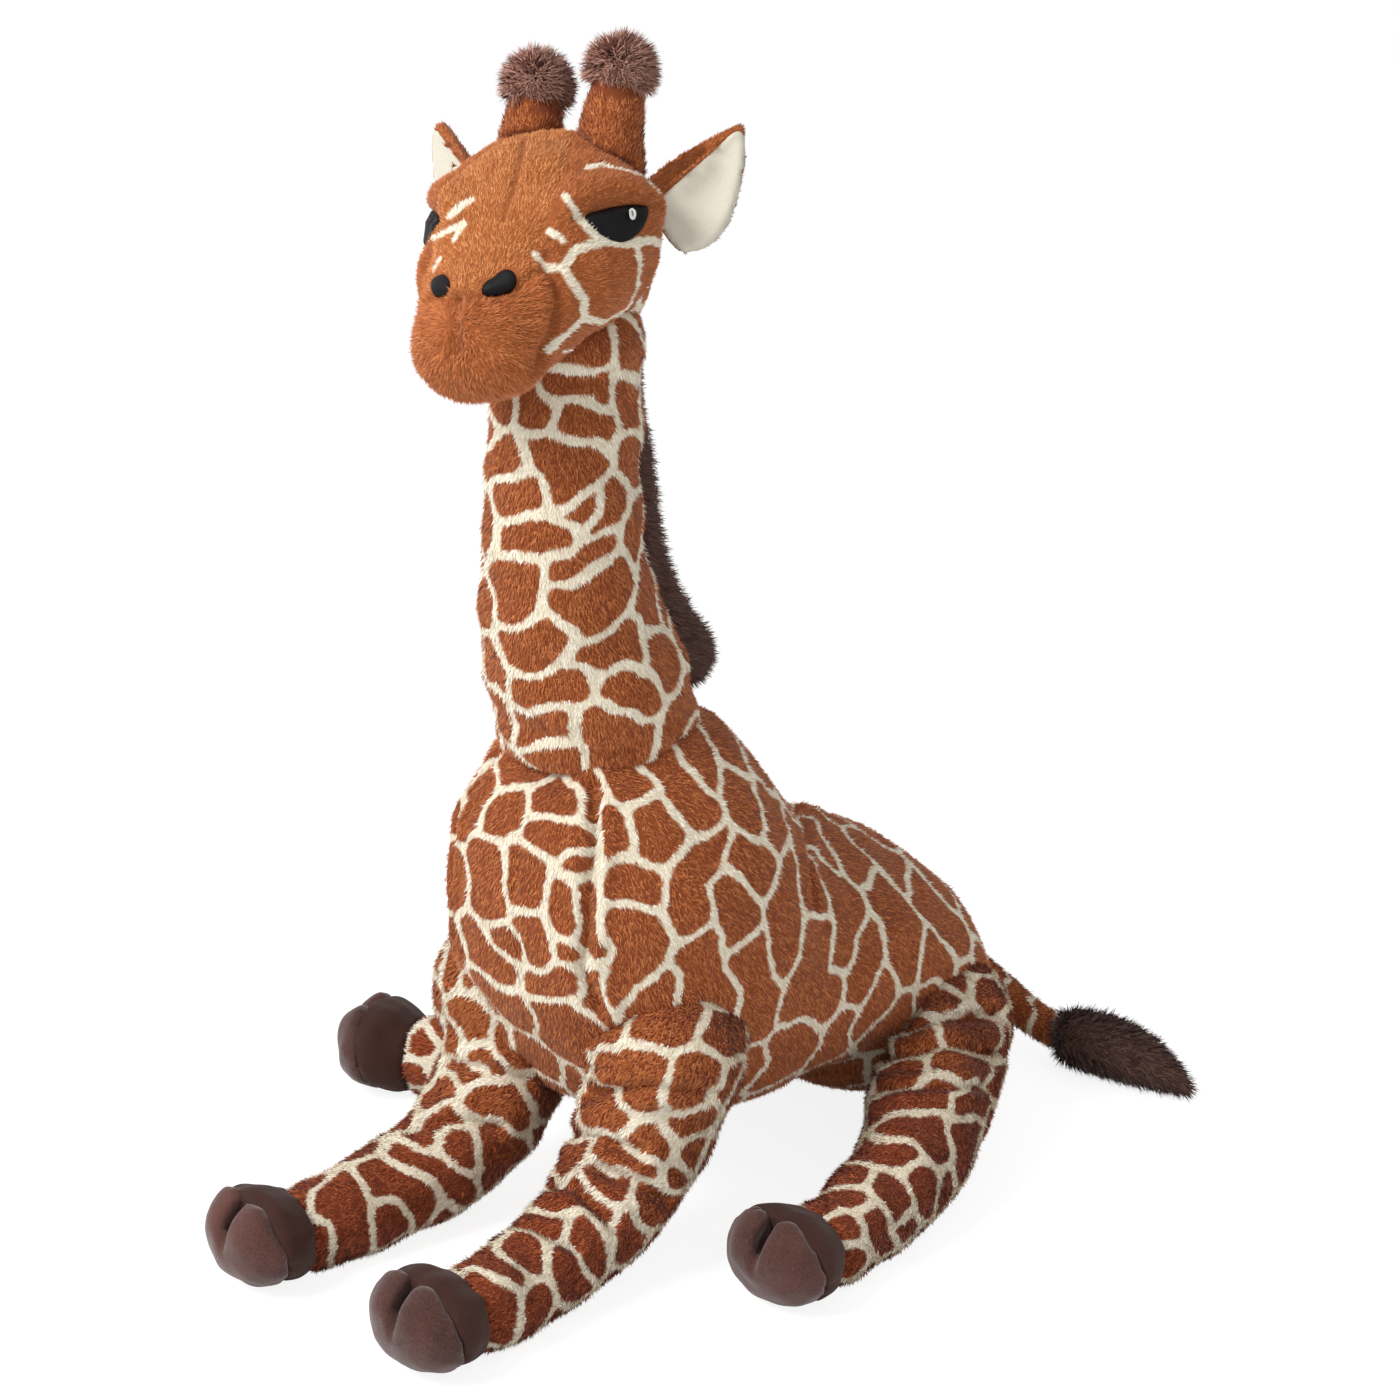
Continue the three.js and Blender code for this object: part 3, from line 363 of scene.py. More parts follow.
def cloth_material(name, color, spread, grain, depth, roughness=0.9, sheen=0.15, ground=None):
    """Cloth with uneven colour and a fine relief. `ground` is the colour between the coat's patches."""
    material = principled(name, color, roughness, sheen)
    tree = material.node_tree
    place = add_node(tree, "TexCoord", output="Object")
    blotch = add_node(tree, "TexNoise", {"Vector": place, "Scale": 28, "Detail": 4}, "Fac")
    fine = add_node(tree, "TexNoise", {"Vector": place, "Scale": grain, "Detail": 3}, "Fac")
    both = add_node(tree, "Math", {0: blotch, 1: fine}, operation="ADD")
    ramp = add_node(tree, "MapRange", {"Value": both, "From Min": 0.7, "From Max": 1.3}, "Result")
    base = np.array(linear(color)[:3])
    tone = add_node(tree, "Mix", {
        "Factor": ramp,
        "A": tuple(base * (1 - spread)) + (1,),
        "B": tuple(np.minimum(base * (1 + spread), 1)) + (1,),
    }, "Result", data_type="RGBA")
    if ground:
        edge = add_node(tree, "Attribute", output="Fac", attribute_name="patch")
        cut = add_node(tree, "MapRange", {"Value": edge, "From Min": -0.8, "From Max": 0.8}, "Result")
        mixed = {"Factor": cut, "A": linear(ground), "B": tone}
        tone = add_node(tree, "Mix", mixed, "Result", data_type="RGBA")
    bump = add_node(tree, "Bump", {"Height": fine, "Strength": 0.6, "Distance": depth}, "Normal")
    set_inputs(tree.nodes["Principled BSDF"], {"Base Color": tone, "Normal": bump})
    return material


brown_pile = pile_materials("brown_pile", BROWNS)
red_pile = pile_materials("redder_brown_pile", REDDER_BROWNS)
caramel_pile = pile_materials("caramel_pile", CARAMELS)
cream_pile = pile_materials("cream_pile", CREAMS)
dark_pile = pile_materials("dark_pile", DARKS)
tuft_pile = pile_materials("tuft_pile", TUFT_BROWNS)
# The covers' backing colours are darker than their pile: painted shade among the blades' roots
coat_cover = cloth_material("coat_cover", COAT_BACKING_AND_ROOT_SHADE, 0.18, 700, 1 * MM, ground=GROUND)
leg_cover = cloth_material("leg_cover", LEG_BACKING_AND_ROOT_SHADE, 0.18, 700, 1 * MM, ground=LEG_GROUND)
face_cover = cloth_material("face_cover", FACE_BACKING_AND_ROOT_SHADE, 0.14, 700, 1 * MM, ground=GROUND)
dark_cover = cloth_material("dark_cover", DARK_BACKING_AND_ROOT_SHADE, 0.2, 500, 1 * MM)
tuft_cover = cloth_material("tuft_cover", TUFT_BACKING_AND_ROOT_SHADE, 0.2, 500, 1 * MM)
wrap_cloth = cloth_material("wrap_cloth", WRAP_BROWN, 0.2, 900, 0.25 * MM, 0.7, 0.06)
# The sole's wide spread of colour is partly its own uneven velour and partly painted sheen, its mottled
# highlights
sole_cloth = cloth_material("sole_cloth", SOLE_BROWN, 0.5, 800, 0.6 * MM, 0.7, 0.3)
lining_cloth = cloth_material("lining_cloth", LINING_WHITE, 0.05, 900, 0.3 * MM)
eye_stitch = cloth_material("eye_stitch", STITCH_BLACK, 0.3, 1500, 0.4 * MM, 0.5, 0.0)
# The white stitches turn grey in the middle of the eye's ring: painted shade
white_stitch = cloth_material("white_stitch", STITCH_WHITE, 0.04, 1500, 0.3 * MM, 0.6, 0.0, GLINT_MIDDLE_SHADE)


# Meshes

def new_object(name, verts, faces, materials=()):
    mesh = bpy.data.meshes.new(name)
    mesh.from_pydata([tuple(v) for v in np.asarray(verts).tolist()], [], [tuple(f) for f in faces])
    mesh.update()
    obj = placed(name, mesh)
    for material in materials:
        mesh.materials.append(material)
    mesh.polygons.foreach_set("use_smooth", [True] * len(mesh.polygons))
    return obj


def coords(obj, kind="co"):
    out = np.empty(len(obj.data.vertices) * 3)
    obj.data.vertices.foreach_get(kind, out)
    return out.reshape(-1, 3)


def normals(obj):
    return coords(obj, "normal")


def skin(obj):
    return coords(obj), normals(obj)


def set_coords(obj, points):
    obj.data.vertices.foreach_set("co", np.asarray(points, float).ravel())
    obj.data.update()


def node_mesh(node):
    obj = frame["nodes"][node]
    world = np.array(obj.matrix_world)
    points = coords(obj) @ world[:3, :3].T + world[:3, 3]
    return points, [list(p.vertices) for p in obj.data.polygons]


def applied(obj):
    """Puts obj's modifiers into its mesh."""
    bpy.context.view_layer.update()
    seen = obj.evaluated_get(bpy.context.evaluated_depsgraph_get())
    mesh = bpy.data.meshes.new_from_object(seen)
    old = obj.data
    obj.modifiers.clear()
    obj.data = mesh
    bpy.data.meshes.remove(old)
    mesh.polygons.foreach_set("use_smooth", [True] * len(mesh.polygons))


def remeshed(obj, voxel, smoothing):
    set_up(obj.modifiers.new("remesh", "REMESH"), mode="VOXEL", voxel_size=voxel)
    set_up(obj.modifiers.new("smooth", "SMOOTH"), factor=0.5, iterations=smoothing)
    applied(obj)


def subdivided(obj):
    set_up(obj.modifiers.new("subsurf", "SUBSURF"), levels=1, render_levels=1)
    applied(obj)


def ball(joint, offset_mm, radius_mm):
    """The place and radius of a ball beside a joint."""
    return joints[joint] + np.array(offset_mm) * MM, radius_mm * MM


def cover(nodes, cloth, balls=(), voxel=COVER_VOXEL, smoothing=6, grow=0.0):
    """A closed cover over CAD nodes, filled out with balls where a joint opens a gap between them."""
    verts, faces = [], []
    for node in nodes:
        points, polygons = node_mesh(node)
        faces += [[i + len(verts) for i in p] for p in polygons]
        verts += points.tolist()
    for centre, radius in balls:
        sphere = bpy.data.meshes.new("ball")
        tool = bmesh.new()
        bmesh.ops.create_icosphere(tool, subdivisions=4, radius=radius)
        tool.to_mesh(sphere)
        tool.free()
        faces += [[i + len(verts) for i in p.vertices] for p in sphere.polygons]
        verts += (np.array([v.co for v in sphere.vertices]) + centre).tolist()
        bpy.data.meshes.remove(sphere)
    obj = new_object(f"{nodes[0]}_cover", verts, faces, [cloth])
    remeshed(obj, voxel, smoothing)
    if grow:
        set_coords(obj, coords(obj) + normals(obj) * grow)
    return obj


def puffed(obj, held, pressure=PRESSURE, looseness=0.03):
    """Lets the filling press the cover out between its seams: `held` is 1 where a seam holds it."""
    before = coords(obj)
    group = obj.vertex_groups.new(name="seams")
    for i, weight in enumerate(held):
        if weight > 0.01:
            group.add([i], float(weight), "REPLACE")
    mod = obj.modifiers.new("cloth", "CLOTH")
    set_up(mod.settings, quality=4, mass=0.15, tension_stiffness=12, compression_stiffness=8,
           shear_stiffness=6, bending_stiffness=0.3, use_pressure=True, uniform_pressure_force=pressure,
           shrink_min=-looseness, vertex_group_mass="seams")
    mod.settings.effector_weights.gravity = 0
    mod.collision_settings.use_collision = False
    set_up(mod.point_cache, frame_start=1, frame_end=CLOTH_FRAMES)
    for f in range(1, CLOTH_FRAMES + 1):
        scene.frame_set(f)
    seen = obj.evaluated_get(bpy.context.evaluated_depsgraph_get())
    after = coords(seen)
    obj.modifiers.clear()
    obj.vertex_groups.clear()
    scene.frame_set(1)
    move = after - before
    size = np.linalg.norm(move, axis=1, keepdims=True)
    move *= MOST_PUFFED / (MOST_PUFFED + size)
    set_coords(obj, before + move)


def patch_attribute(obj, values):
    attribute = obj.data.attributes.new("patch", "FLOAT", "POINT")
    attribute.data.foreach_set("value", np.zeros(len(obj.data.vertices)) + values)


# Places read from the photo

to_camera = np.array([
    math.sin(CAMERA_AZIMUTH) * math.cos(CAMERA_ELEVATION),
    -math.cos(CAMERA_AZIMUTH) * math.cos(CAMERA_ELEVATION),
    math.sin(CAMERA_ELEVATION),
])
camera_right = np.array([math.cos(CAMERA_AZIMUTH), math.sin(CAMERA_AZIMUTH), 0])
camera_up = np.cross(to_camera, camera_right)
camera_place = CAMERA_TARGET + to_camera * CAMERA_DISTANCE


def tree_of(obj):
    return BVHTree.FromPolygons([tuple(v) for v in coords(obj)], [tuple(q.vertices) for q in obj.data.polygons])


def on_photo(tree, pixel):
    """The point of a cover that the photo shows at a pixel, or the nearest one beside its outline."""
    x, y = pixel
    half = PHOTO_SIZE / 2
    ray = unit(camera_right * (x - half) / PHOTO_FOCUS + camera_up * (half - y) / PHOTO_FOCUS - to_camera)
    hit = tree.ray_cast(Vector(camera_place), Vector(ray))[0]
    if hit is None:
        ways = np.linspace(0.75, 1.25, 80) * CAMERA_DISTANCE
        found = [tree.find_nearest(Vector(camera_place + ray * way)) for way in ways]
        hit = min(found, key=lambda near: near[3])[0]
    return np.array(hit)


def seen_at(points):
    """Where the photo shows each point, in its pixels."""
    way = points - camera_place
    depth = -(way @ to_camera)
    return (PHOTO_SIZE / 2 + PHOTO_FOCUS * (way @ camera_right) / depth,
            PHOTO_SIZE / 2 - PHOTO_FOCUS * (way @ camera_up) / depth)


def photo_line(tree, pixels):
    """A line of pixels as close points on a cover."""
    out = [on_photo(tree, pixels[0])]
    for (ax, ay), (bx, by) in zip(pixels, pixels[1:]):
        count = max(1, round(math.hypot(bx - ax, by - ay) / PATCH_STEP_PX))
        for i in range(1, count + 1):
            t = i / count
            out.append(on_photo(tree, (ax + (bx - ax) * t, ay + (by - ay) * t)))
    return np.array(out)


def line_distance(points, line):
    """How far each point is from a line of points, in metres."""
    best = np.full(len(points), 1e9)
    ends = zip(line, line[1:]) if len(line) > 1 else [(line[0], line[0])]
    for a, b in ends:
        ab = b - a
        t = np.clip((points - a) @ ab / (ab @ ab + 1e-12), 0, 1)
        best = np.minimum(best, np.linalg.norm(points - a - t[:, None] * ab, axis=1))
    return best


# The coat's pattern

def mirrored(line, middle):
    return line * [-1, 1, 1] + [2 * middle, 0, 0]


def facing_photo(tree, points):
    """Which points of a cover the photo shows."""
    pixels = zip(*seen_at(points))
    return np.array([np.linalg.norm(on_photo(tree, px) - q) < SEEN_WITHIN for px, q in zip(pixels, points)])


def unseen(tree, line):
    """The stretches of a line that the photo doesn't show."""
    shown = facing_photo(tree, line)
    parts = np.split(np.arange(len(line)), np.flatnonzero(np.diff(shown.astype(int))) + 1)
    return [line[part] for part in parts if not shown[part[0]] and len(part) > 1]


def unbroken(line):
    """The longest stretch of a line that never leaps from one part of the cover to another."""
    cuts = np.flatnonzero(np.linalg.norm(np.diff(line, axis=0), axis=1) > PATCH_LEAP) + 1
    return max(np.split(line, cuts), key=len)


def coat_patches(obj, lines_px, spacing, seed, middle=None):
    """Lines through the coat's patches: those in view, their mirror images, and others in between."""
    tree = tree_of(obj)
    lines = [unbroken(photo_line(tree, px)) for px in lines_px]
    if middle is not None:
        seen = np.concatenate(lines)
        for line in [mirrored(line, middle) for line in lines]:
            line = np.array([tree.find_nearest(Vector(point))[0] for point in line])
            for part in unseen(tree, line):
                if np.linalg.norm(part[:, None] - seen[None], axis=-1).min() > spacing * 0.7:
                    lines.append(part)
    points = coords(obj)
    r = np.random.default_rng(seed)
    if len(points) > PATCH_TRIES:
        points = points[r.choice(len(points), PATCH_TRIES, replace=False)]
    if lines:
        known = np.concatenate(lines)
    else:
        known = points[:1]
        lines.append(known)
    far = np.full(len(points), 1e9)
    for begin in range(0, len(points), BATCH):
        part = points[begin:begin + BATCH]
        far[begin:begin + BATCH] = np.linalg.norm(part[:, None] - known[None], axis=-1).min(1)
    # Where the photo shows the cover its patches are given, and only wide gaps are filled
    far -= np.where(facing_photo(tree, points), 1.7, 1.0) * spacing
    while far.max() > 0:
        likely = np.flatnonzero(far > far.max() * 0.8)
        new = points[r.choice(likely)]
        lines.append(new[None])
        far = np.minimum(far, np.linalg.norm(points - new, axis=1) - spacing)
    return lines


def patch_edge(points, lines, seed, cream=CREAM_HALF_MM):
    """How far each point lies inside its patch, in millimetres. It is below 0 on the cream ground."""
    wander = np.stack([waves(points, 26 * MM, seed + k) for k in range(3)], 1) * 1.4 * MM
    places = points + wander
    corner = 1.4
    seeds = np.concatenate(lines)
    starts = np.cumsum([0] + [len(line) for line in lines])
    out = np.empty(len(points))
    for begin in range(0, len(points), BATCH):
        p = places[begin:begin + BATCH]
        d = np.linalg.norm(p[:, None] - seeds[None], axis=-1)
        rows = np.arange(len(p))
        nearest = np.empty((len(p), len(lines)))
        which = np.empty((len(p), len(lines)), int)
        for k, (a, b) in enumerate(zip(starts, starts[1:])):
            best = np.argmin(d[:, a:b], axis=1)
            which[:, k] = a + best
            nearest[:, k] = d[rows, a + best]
        own = np.argmin(nearest, axis=1)
        first = nearest[rows, own]
        between = np.linalg.norm(seeds[which] - seeds[which[rows, own]][:, None], axis=-1)
        edge = (nearest ** 2 - first[:, None] ** 2) / (2 * between + 1e-9) / MM
        edge[rows, own] = 1e3
        # The least of the distances to a patch's edges, with its corners rounded
        out[begin:begin + BATCH] = -corner * np.log(np.exp(-np.minimum(edge, 40) / corner).sum(1) + 1e-12)
    return out - cream + 0.4 * waves(points, 6 * MM, seed + 9)


def coat_edge(obj, lines_px, spacing, seeds, cream=CREAM_HALF_MM, middle=None):
    """Lays patches over a cover, and gives back the function that tells how far points lie inside them."""
    patches = coat_patches(obj, lines_px, spacing, seeds[0], middle)

    def edge(points):
        return patch_edge(points, patches, seeds[1], cream)

    patch_attribute(obj, edge(coords(obj)))
    return edge


# Pile

def surface_samples(obj, density):
    """Points spread over obj, with the surface's normal at each."""
    mesh = obj.data
    mesh.calc_loop_triangles()
    tris = np.empty(len(mesh.loop_triangles) * 3, int)
    mesh.loop_triangles.foreach_get("vertices", tris)
    tris = tris.reshape(-1, 3)
    p, n = skin(obj)
    a, b, c = p[tris[:, 0]], p[tris[:, 1]], p[tris[:, 2]]
    area = np.linalg.norm(np.cross(b - a, c - a), axis=1) / 2
    count = min(PILE_MOST, int(area.sum() / MM ** 2 * density))
    pick = rng.choice(len(tris), count, p=area / area.sum())
    u = rng.random(count)
    v = rng.random(count)
    flip = u + v > 1
    u[flip], v[flip] = 1 - u[flip], 1 - v[flip]
    w = (1 - u - v)[:, None]
    u, v = u[:, None], v[:, None]
    points = a[pick] * w + b[pick] * u + c[pick] * v
    t = tris[pick]
    return points, unit(n[t[:, 0]] * w + n[t[:, 1]] * u + n[t[:, 2]] * v)


def inside(points, others):
    """Which points lie deep inside another cover."""
    hidden = np.zeros(len(points), bool)
    for other in others:
        low, high = coords(other).min(0), coords(other).max(0)
        tree = BVHTree.FromObject(other, bpy.context.evaluated_depsgraph_get())
        near = np.all((points > low) & (points < high), axis=1) & ~hidden
        for i in np.flatnonzero(near):
            where, normal, _, _ = tree.find_nearest(points[i])
            if (Vector(points[i]) - where).dot(normal) < -HIDDEN_DEPTH:
                hidden[i] = True
    return hidden


def beside(points, pieces):
    """Which points lie on or close to a piece's surface."""
    close = np.zeros(len(points), bool)
    for piece in pieces:
        tree = tree_of(piece)
        low, high = coords(piece).min(0) - BARE_REACH, coords(piece).max(0) + BARE_REACH
        for i in np.flatnonzero(np.all((points > low) & (points < high), axis=1)):
            close[i] |= tree.find_nearest(Vector(points[i]))[3] < BARE_REACH
    return close


def pile(on, nap, tone, materials, others=(), bare=(), dense=1.0, length=PILE_LENGTH, width=PILE_WIDTH,
         lift=0.55, wild=0.35):
    """Blades of pile on a cover, with none inside `others` or beside `bare`.

    `nap` gives the way they lie, `tone` the material of each, `lift` how far they stand up in radians and
    `wild` how much they stray.
    """
    points, n = surface_samples(on, PILE_PER_MM2 * dense)
    keep = ~inside(points, others)
    points, n = points[keep], n[keep]
    keep = ~beside(points, bare)
    points, n = points[keep], n[keep]
    lie = nap(points)
    lie = lie - n * (lie * n).sum(1, keepdims=True)
    lie = unit(unit(lie) + rng.normal(size=lie.shape) * wild)
    lie = unit(lie - n * (lie * n).sum(1, keepdims=True))
    count = len(points)
    rise = (lift + 0.2 * rng.normal(size=(count, 1))).clip(0.12, 1.4)
    way = unit(lie * np.cos(rise) + n * np.sin(rise))
    flat = unit(np.cross(way, n))
    roll = 0.45 * rng.normal(size=(count, 1)).clip(-1.5, 1.5)
    side = unit(flat * np.cos(roll) + np.cross(way, flat) * np.sin(roll))
    full = length(points)[:, None] if callable(length) else length
    size, half = (full_size * (0.7 + 0.6 * rng.random((count, 1))) for full_size in (full, 0.5 * width))
    root = points - n * ROOT_DEPTH
    verts = np.stack([root - side * half, root + side * half, root + way * size], 1).reshape(-1, 3)
    verts[:, 2] = np.maximum(verts[:, 2], OFF_THE_FLOOR)
    name = on.name.replace("_cover", "_pile")
    mesh = bpy.data.meshes.new(name)
    mesh.vertices.add(count * 3)
    mesh.vertices.foreach_set("co", verts.ravel())
    mesh.loops.add(count * 3)
    mesh.loops.foreach_set("vertex_index", np.arange(count * 3))
    mesh.polygons.add(count)
    mesh.polygons.foreach_set("loop_start", np.arange(count) * 3)
    for material in materials:
        mesh.materials.append(material)
    mesh.polygons.foreach_set("material_index", tone(points + way * size * 0.5).astype(int))
    mesh.polygons.foreach_set("use_smooth", np.ones(count, bool))
    mesh.update(calc_edges=True)
    obj = placed(name, mesh)
    soft = unit(n * 0.7 + unit(np.cross(side, way)) * 0.45)
    mesh.normals_split_custom_set_from_vertices(np.repeat(soft, 3, axis=0).tolist())
    return obj


def shade_of(points, seed, count=SHADES):
    """One of `count` shades: streaks and chance."""
    v = 0.5 + 0.22 * waves(points, 9 * MM, seed) + 0.30 * (rng.random(len(points)) - 0.5) * 2
    return np.clip((v * count).astype(int), 0, count - 1)


def shades(seed):
    return lambda p: shade_of(p, seed)


def towards(target):
    return lambda p: np.asarray(target) - p


def away(source):
    return lambda p: p - np.asarray(source)


def along(direction):
    return lambda p: np.tile(np.asarray(direction, float), (len(p), 1))


def finished(obj, slot, nodes=(), body=None, bend=None, blades=None):
    """Hides a piece's nodes and parents the piece and its pile to the empty of the body it rides; a piece given
    `bend` only has its place put into its mesh. `slot` is not used.
    """
    if nodes:
        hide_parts(*nodes)
    if bend:
        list(bend)
        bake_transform(obj)
    else:
        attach(obj, body)
    if blades is not None:
        finished(blades, slot, body=body, bend=bend)


def groove(points, n, distance, depth, width):
    """Draws the cover in along a seam, where distance is the way to the seam in metres."""
    return points - n * (depth * np.exp(-(distance / width) ** 2))[:, None]


def fold(points, n, distance, depth, width):
    """A groove between two soft rolls."""
    roll = 0.45 * depth * np.exp(-((distance - 2.4 * width) / (1.3 * width)) ** 2)
    return groove(points, n, distance, depth, width) + n * roll[:, None]


# Torso

# The pack moved the source's drawing by this much: its neck's joint is at 0, 33, 316 there
shift = joints["neck_nod"] - np.array([0, 33, 316]) * MM


def here(x, y, z):
    """A place in the source's drawing, in millimetres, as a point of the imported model."""
    return np.array([x, y, z]) * MM + shift


torso = cover(["torso"], coat_cover, [
    ball("neck_nod", (0, 0, -18), 50),
    ball("shoulder_left_swing", (-14, 4, 10), 44),
    ball("shoulder_right_swing", (14, 4, 10), 44),
    ball("hip_left_swing", (-18, 0, 4), 44),
    ball("hip_right_swing", (18, 0, 4), 44),
    ball("tail_swing", (0, -10, 0), 16),
], smoothing=10)
p = coords(torso)
seam_x = np.abs(p[:, 0] - shift[0])
held = np.exp(-(seam_x / (7 * MM)) ** 2) * 0.8
held = np.maximum(held, smoothstep(312 * MM, 320 * MM, p[:, 2]))
puffed(torso, held)
subdivided(torso)
torso_tree = tree_of(torso)
ring = [on_photo(torso_tree, px) for px in NECK_RING_PX]
ring_normal = unit(np.cross(ring[1] - ring[0], ring[2] - ring[0]))
ring_normal = ring_normal * np.sign(ring_normal[2])


def above_ring(points):
    """How far points lie above the seam between the torso and the neck, in metres."""
    return (points - ring[1]) @ ring_normal


p, n = skin(torso)
p = groove(p, n, line_distance(p, photo_line(torso_tree, CHEST_SEAM_PX)), **CHEST_SEAM)
side_seam = photo_line(torso_tree, SIDE_SEAM_PX)
for seam in (side_seam, mirrored(side_seam, shift[0])):
    p = fold(p, n, line_distance(p, seam), **SIDE_SEAM)
behind = np.abs(p[:, 0] - shift[0]) + np.where(p[:, 1] > shift[1] + 60 * MM, 0, 1)
p = groove(p, n, behind, **BACK_SEAM)
waist_line = photo_line(torso_tree, WAIST_FOLD_PX)
for seam in (waist_line, mirrored(waist_line, shift[0])):
    p = fold(p, n, line_distance(p, seam), **WAIST_SEAM)
p = groove(p, n, np.abs(above_ring(p)), **NECK_SEAM)
p = p + n * (1.3 * MM * waves(p, 60 * MM, 21))[:, None]
p[:, 2] = np.maximum(p[:, 2], 0.2 * MM)
set_coords(torso, p)
torso_edge = coat_edge(torso, TORSO_PATCHES_PX, spacing=27 * MM, seeds=(3, 31), middle=shift[0])


def mingled(edge):
    """An edge with a little chance in it, so that the pile of two colours mingles along it."""
    return edge + rng.normal(size=len(edge)) * 0.25


def coat_tone(edge, seed):
    """Material numbers for a coat: browns first, then creams."""
    def tone(points):
        inner = mingled(edge(points))
        brown = shade_of(points, seed)
        return np.where(inner > 0, brown, SHADES + shade_of(points, seed + 1, len(CREAMS)))
    return tone


def leg_tone(edge, pivot, hoof, seed):
    """The body's browns at the top of a leg, redder ones further down, and creams."""
    def tone(points):
        inner = mingled(edge(points))
        way = hoof - pivot
        down = (points - pivot) @ way / (way @ way)
        redder = down + 0.1 * rng.normal(size=len(points)) > 0.36
        shade = shade_of(points, seed) + SHADES * redder
        return np.where(inner > 0, shade, 2 * SHADES + shade_of(points, seed + 1, len(CREAMS)))
    return tone


# Neck and mane

neck_bend = ("torso", "neck", tuple(here(0, 33, 306)), tuple(here(0, 30, 352)))
neck = cover(["neck"], coat_cover, [
    ball("neck_nod", (0, 1, -2), 55.5),
    ball("head_nod", (0, 0, 0), 41.5),
], smoothing=8)
p = coords(neck)
held = smoothstep(322 * MM, 306 * MM, p[:, 2]) + smoothstep(560 * MM, 575 * MM, p[:, 2])
puffed(neck, np.clip(held, 0, 1))
subdivided(neck)
p, n = skin(neck)
height = above_ring(p)
# The neck swells in front just above its seam and tucks in below it
forward = smoothstep(10 * MM, -20 * MM, p[:, 1] - joints["neck_nod"][1])
swell = 4.2 * MM * np.exp(-((height - 12 * MM) / (12 * MM)) ** 2) * forward
tuck = 5.0 * MM * smoothstep(5 * MM, -3 * MM, height)
p = p + n * (swell - tuck)[:, None]
p = p + n * (1.2 * MM * waves(p * [1, 1, 1.8], 60 * MM, 22))[:, None]
set_coords(neck, p)
neck_edge = coat_edge(neck, NECK_PATCHES_PX, spacing=23 * MM, seeds=(5, 41), cream=NECK_CREAM_HALF_MM,
                      middle=shift[0])

mane = cover(["mane"], dark_cover, voxel=SMALL_VOXEL, smoothing=4, grow=-3.5 * MM)

# Head and muzzle in one cover

head = cover(["head", "muzzle"], face_cover, [
    (from_head((0, 12, 40)), 44 * MM),
    (from_head((50, 10, 66)), 10 * MM),
    (from_head((-50, 10, 66)), 10 * MM),
], voxel=HEAD_VOXEL, smoothing=8)
h = in_head(coords(head))
held = smoothstep(12, 4, h[:, 2]) * smoothstep(-30, -10, h[:, 1])
puffed(head, np.clip(held, 0, 1), HEAD_PRESSURE, looseness=0.015)
subdivided(head)
head_tree = tree_of(head)
eye_spin = np.array(Matrix.Rotation(math.radians(FAR_EYE_TURN), 3, "Z"))


def far_side(points, turned=False):
    """The mirror image of places on the face, turned a little further forward round the eye."""
    h = in_head(points) * [-1, 1, 1]
    if not turned:
        return from_head(h)
    return np.array([head_tree.find_nearest(Vector(q))[0] for q in from_head(h @ eye_spin.T)])


p, n = skin(head)
h = in_head(p)
x, y, z = np.abs(h[:, 0]), h[:, 1], h[:, 2]


def near(line_px, width, sides=True, turned=False):
    """1 on a line of the face and less beside it, on both sides of the face or on one."""
    line = photo_line(head_tree, line_px)
    gap = line_distance(p, line)
    if sides:
        gap = np.minimum(gap, line_distance(p, far_side(line, turned)))
    return np.exp(-(gap / MM / width) ** 2)


# The relief in millimetres: brows, eye sockets, cheeks, lips and seams, each along a line so many wide
relief = np.zeros(len(p))
relief += 6.0 * near(BROW_RIDGE_PX, 10.5, turned=True)
relief -= 4.0 * near(BROW_FOLD_PX, 2.4, turned=True)
relief -= 4.0 * near(EYE_CENTRE_PX, 14.0, turned=True)
relief += 4.0 * near(CHEEK_CENTRE_PX, 15.0)
relief += 3.0 * near(CHEEK_CREASE_PX, 11.0) - 6.5 * near(CHEEK_CREASE_PX, 4.5)
relief -= 1.4 * near(PANEL_EDGE_PX, 2.4)
relief += 2.0 * near(PHILTRUM_PX, 10.0, False) - 5.5 * near(PHILTRUM_PX, 3.6, False)
relief += 1.5 * near(NOSE_LINE_PX, 8.0, False) - 4.2 * near(NOSE_LINE_PX, 3.0, False)
relief -= 2.4 * near(NOSE_SEAM_PX, 2.0, False)
# Two full lips on the snout
lips = ((y + 106) / 20) ** 2 + ((z - 6) / 20) ** 2 + ((x - 20) / 17) ** 2
relief += 3.2 * np.exp(-lips)
far_lip = ((y + 96) / 26) ** 2 + ((z - 4) / 24) ** 2 + ((h[:, 0] + 36) / 16) ** 2
relief += 1.2 * np.exp(-far_lip)
relief += 0.7 * waves(p, 34 * MM, 23)
set_coords(head, p + n * (relief * MM)[:, None])
head_tree = tree_of(head)


def under_head(points):
    """1 where the mane ends under the back of the head, which tips onto it, and 0 further down."""
    return smoothstep(95 * MM, 60 * MM, np.linalg.norm(points - head_pivot, axis=1))


def clear_of_head(points):
    """Points moved out of the way of the head at both ends of its nod, with some room to spare."""
    nod = joint_records["head_nod"]
    for angle in nod["range_deg"]:
        spin = np.array(Matrix.Rotation(math.radians(angle), 3, Vector(nod["axis"])))
        tipped = (points - head_pivot) @ spin + head_pivot
        for i in np.flatnonzero(under_head(points)):
            where, normal, _, _ = head_tree.find_nearest(Vector(tipped[i]))
            above = (Vector(tipped[i]) - where).dot(normal)
            if above < HEAD_ROOM:
                tipped[i] += np.array(normal) * min(HEAD_ROOM - above, MOST_MOVED)
        points = (tipped - head_pivot) @ spin.T + head_pivot
    return points


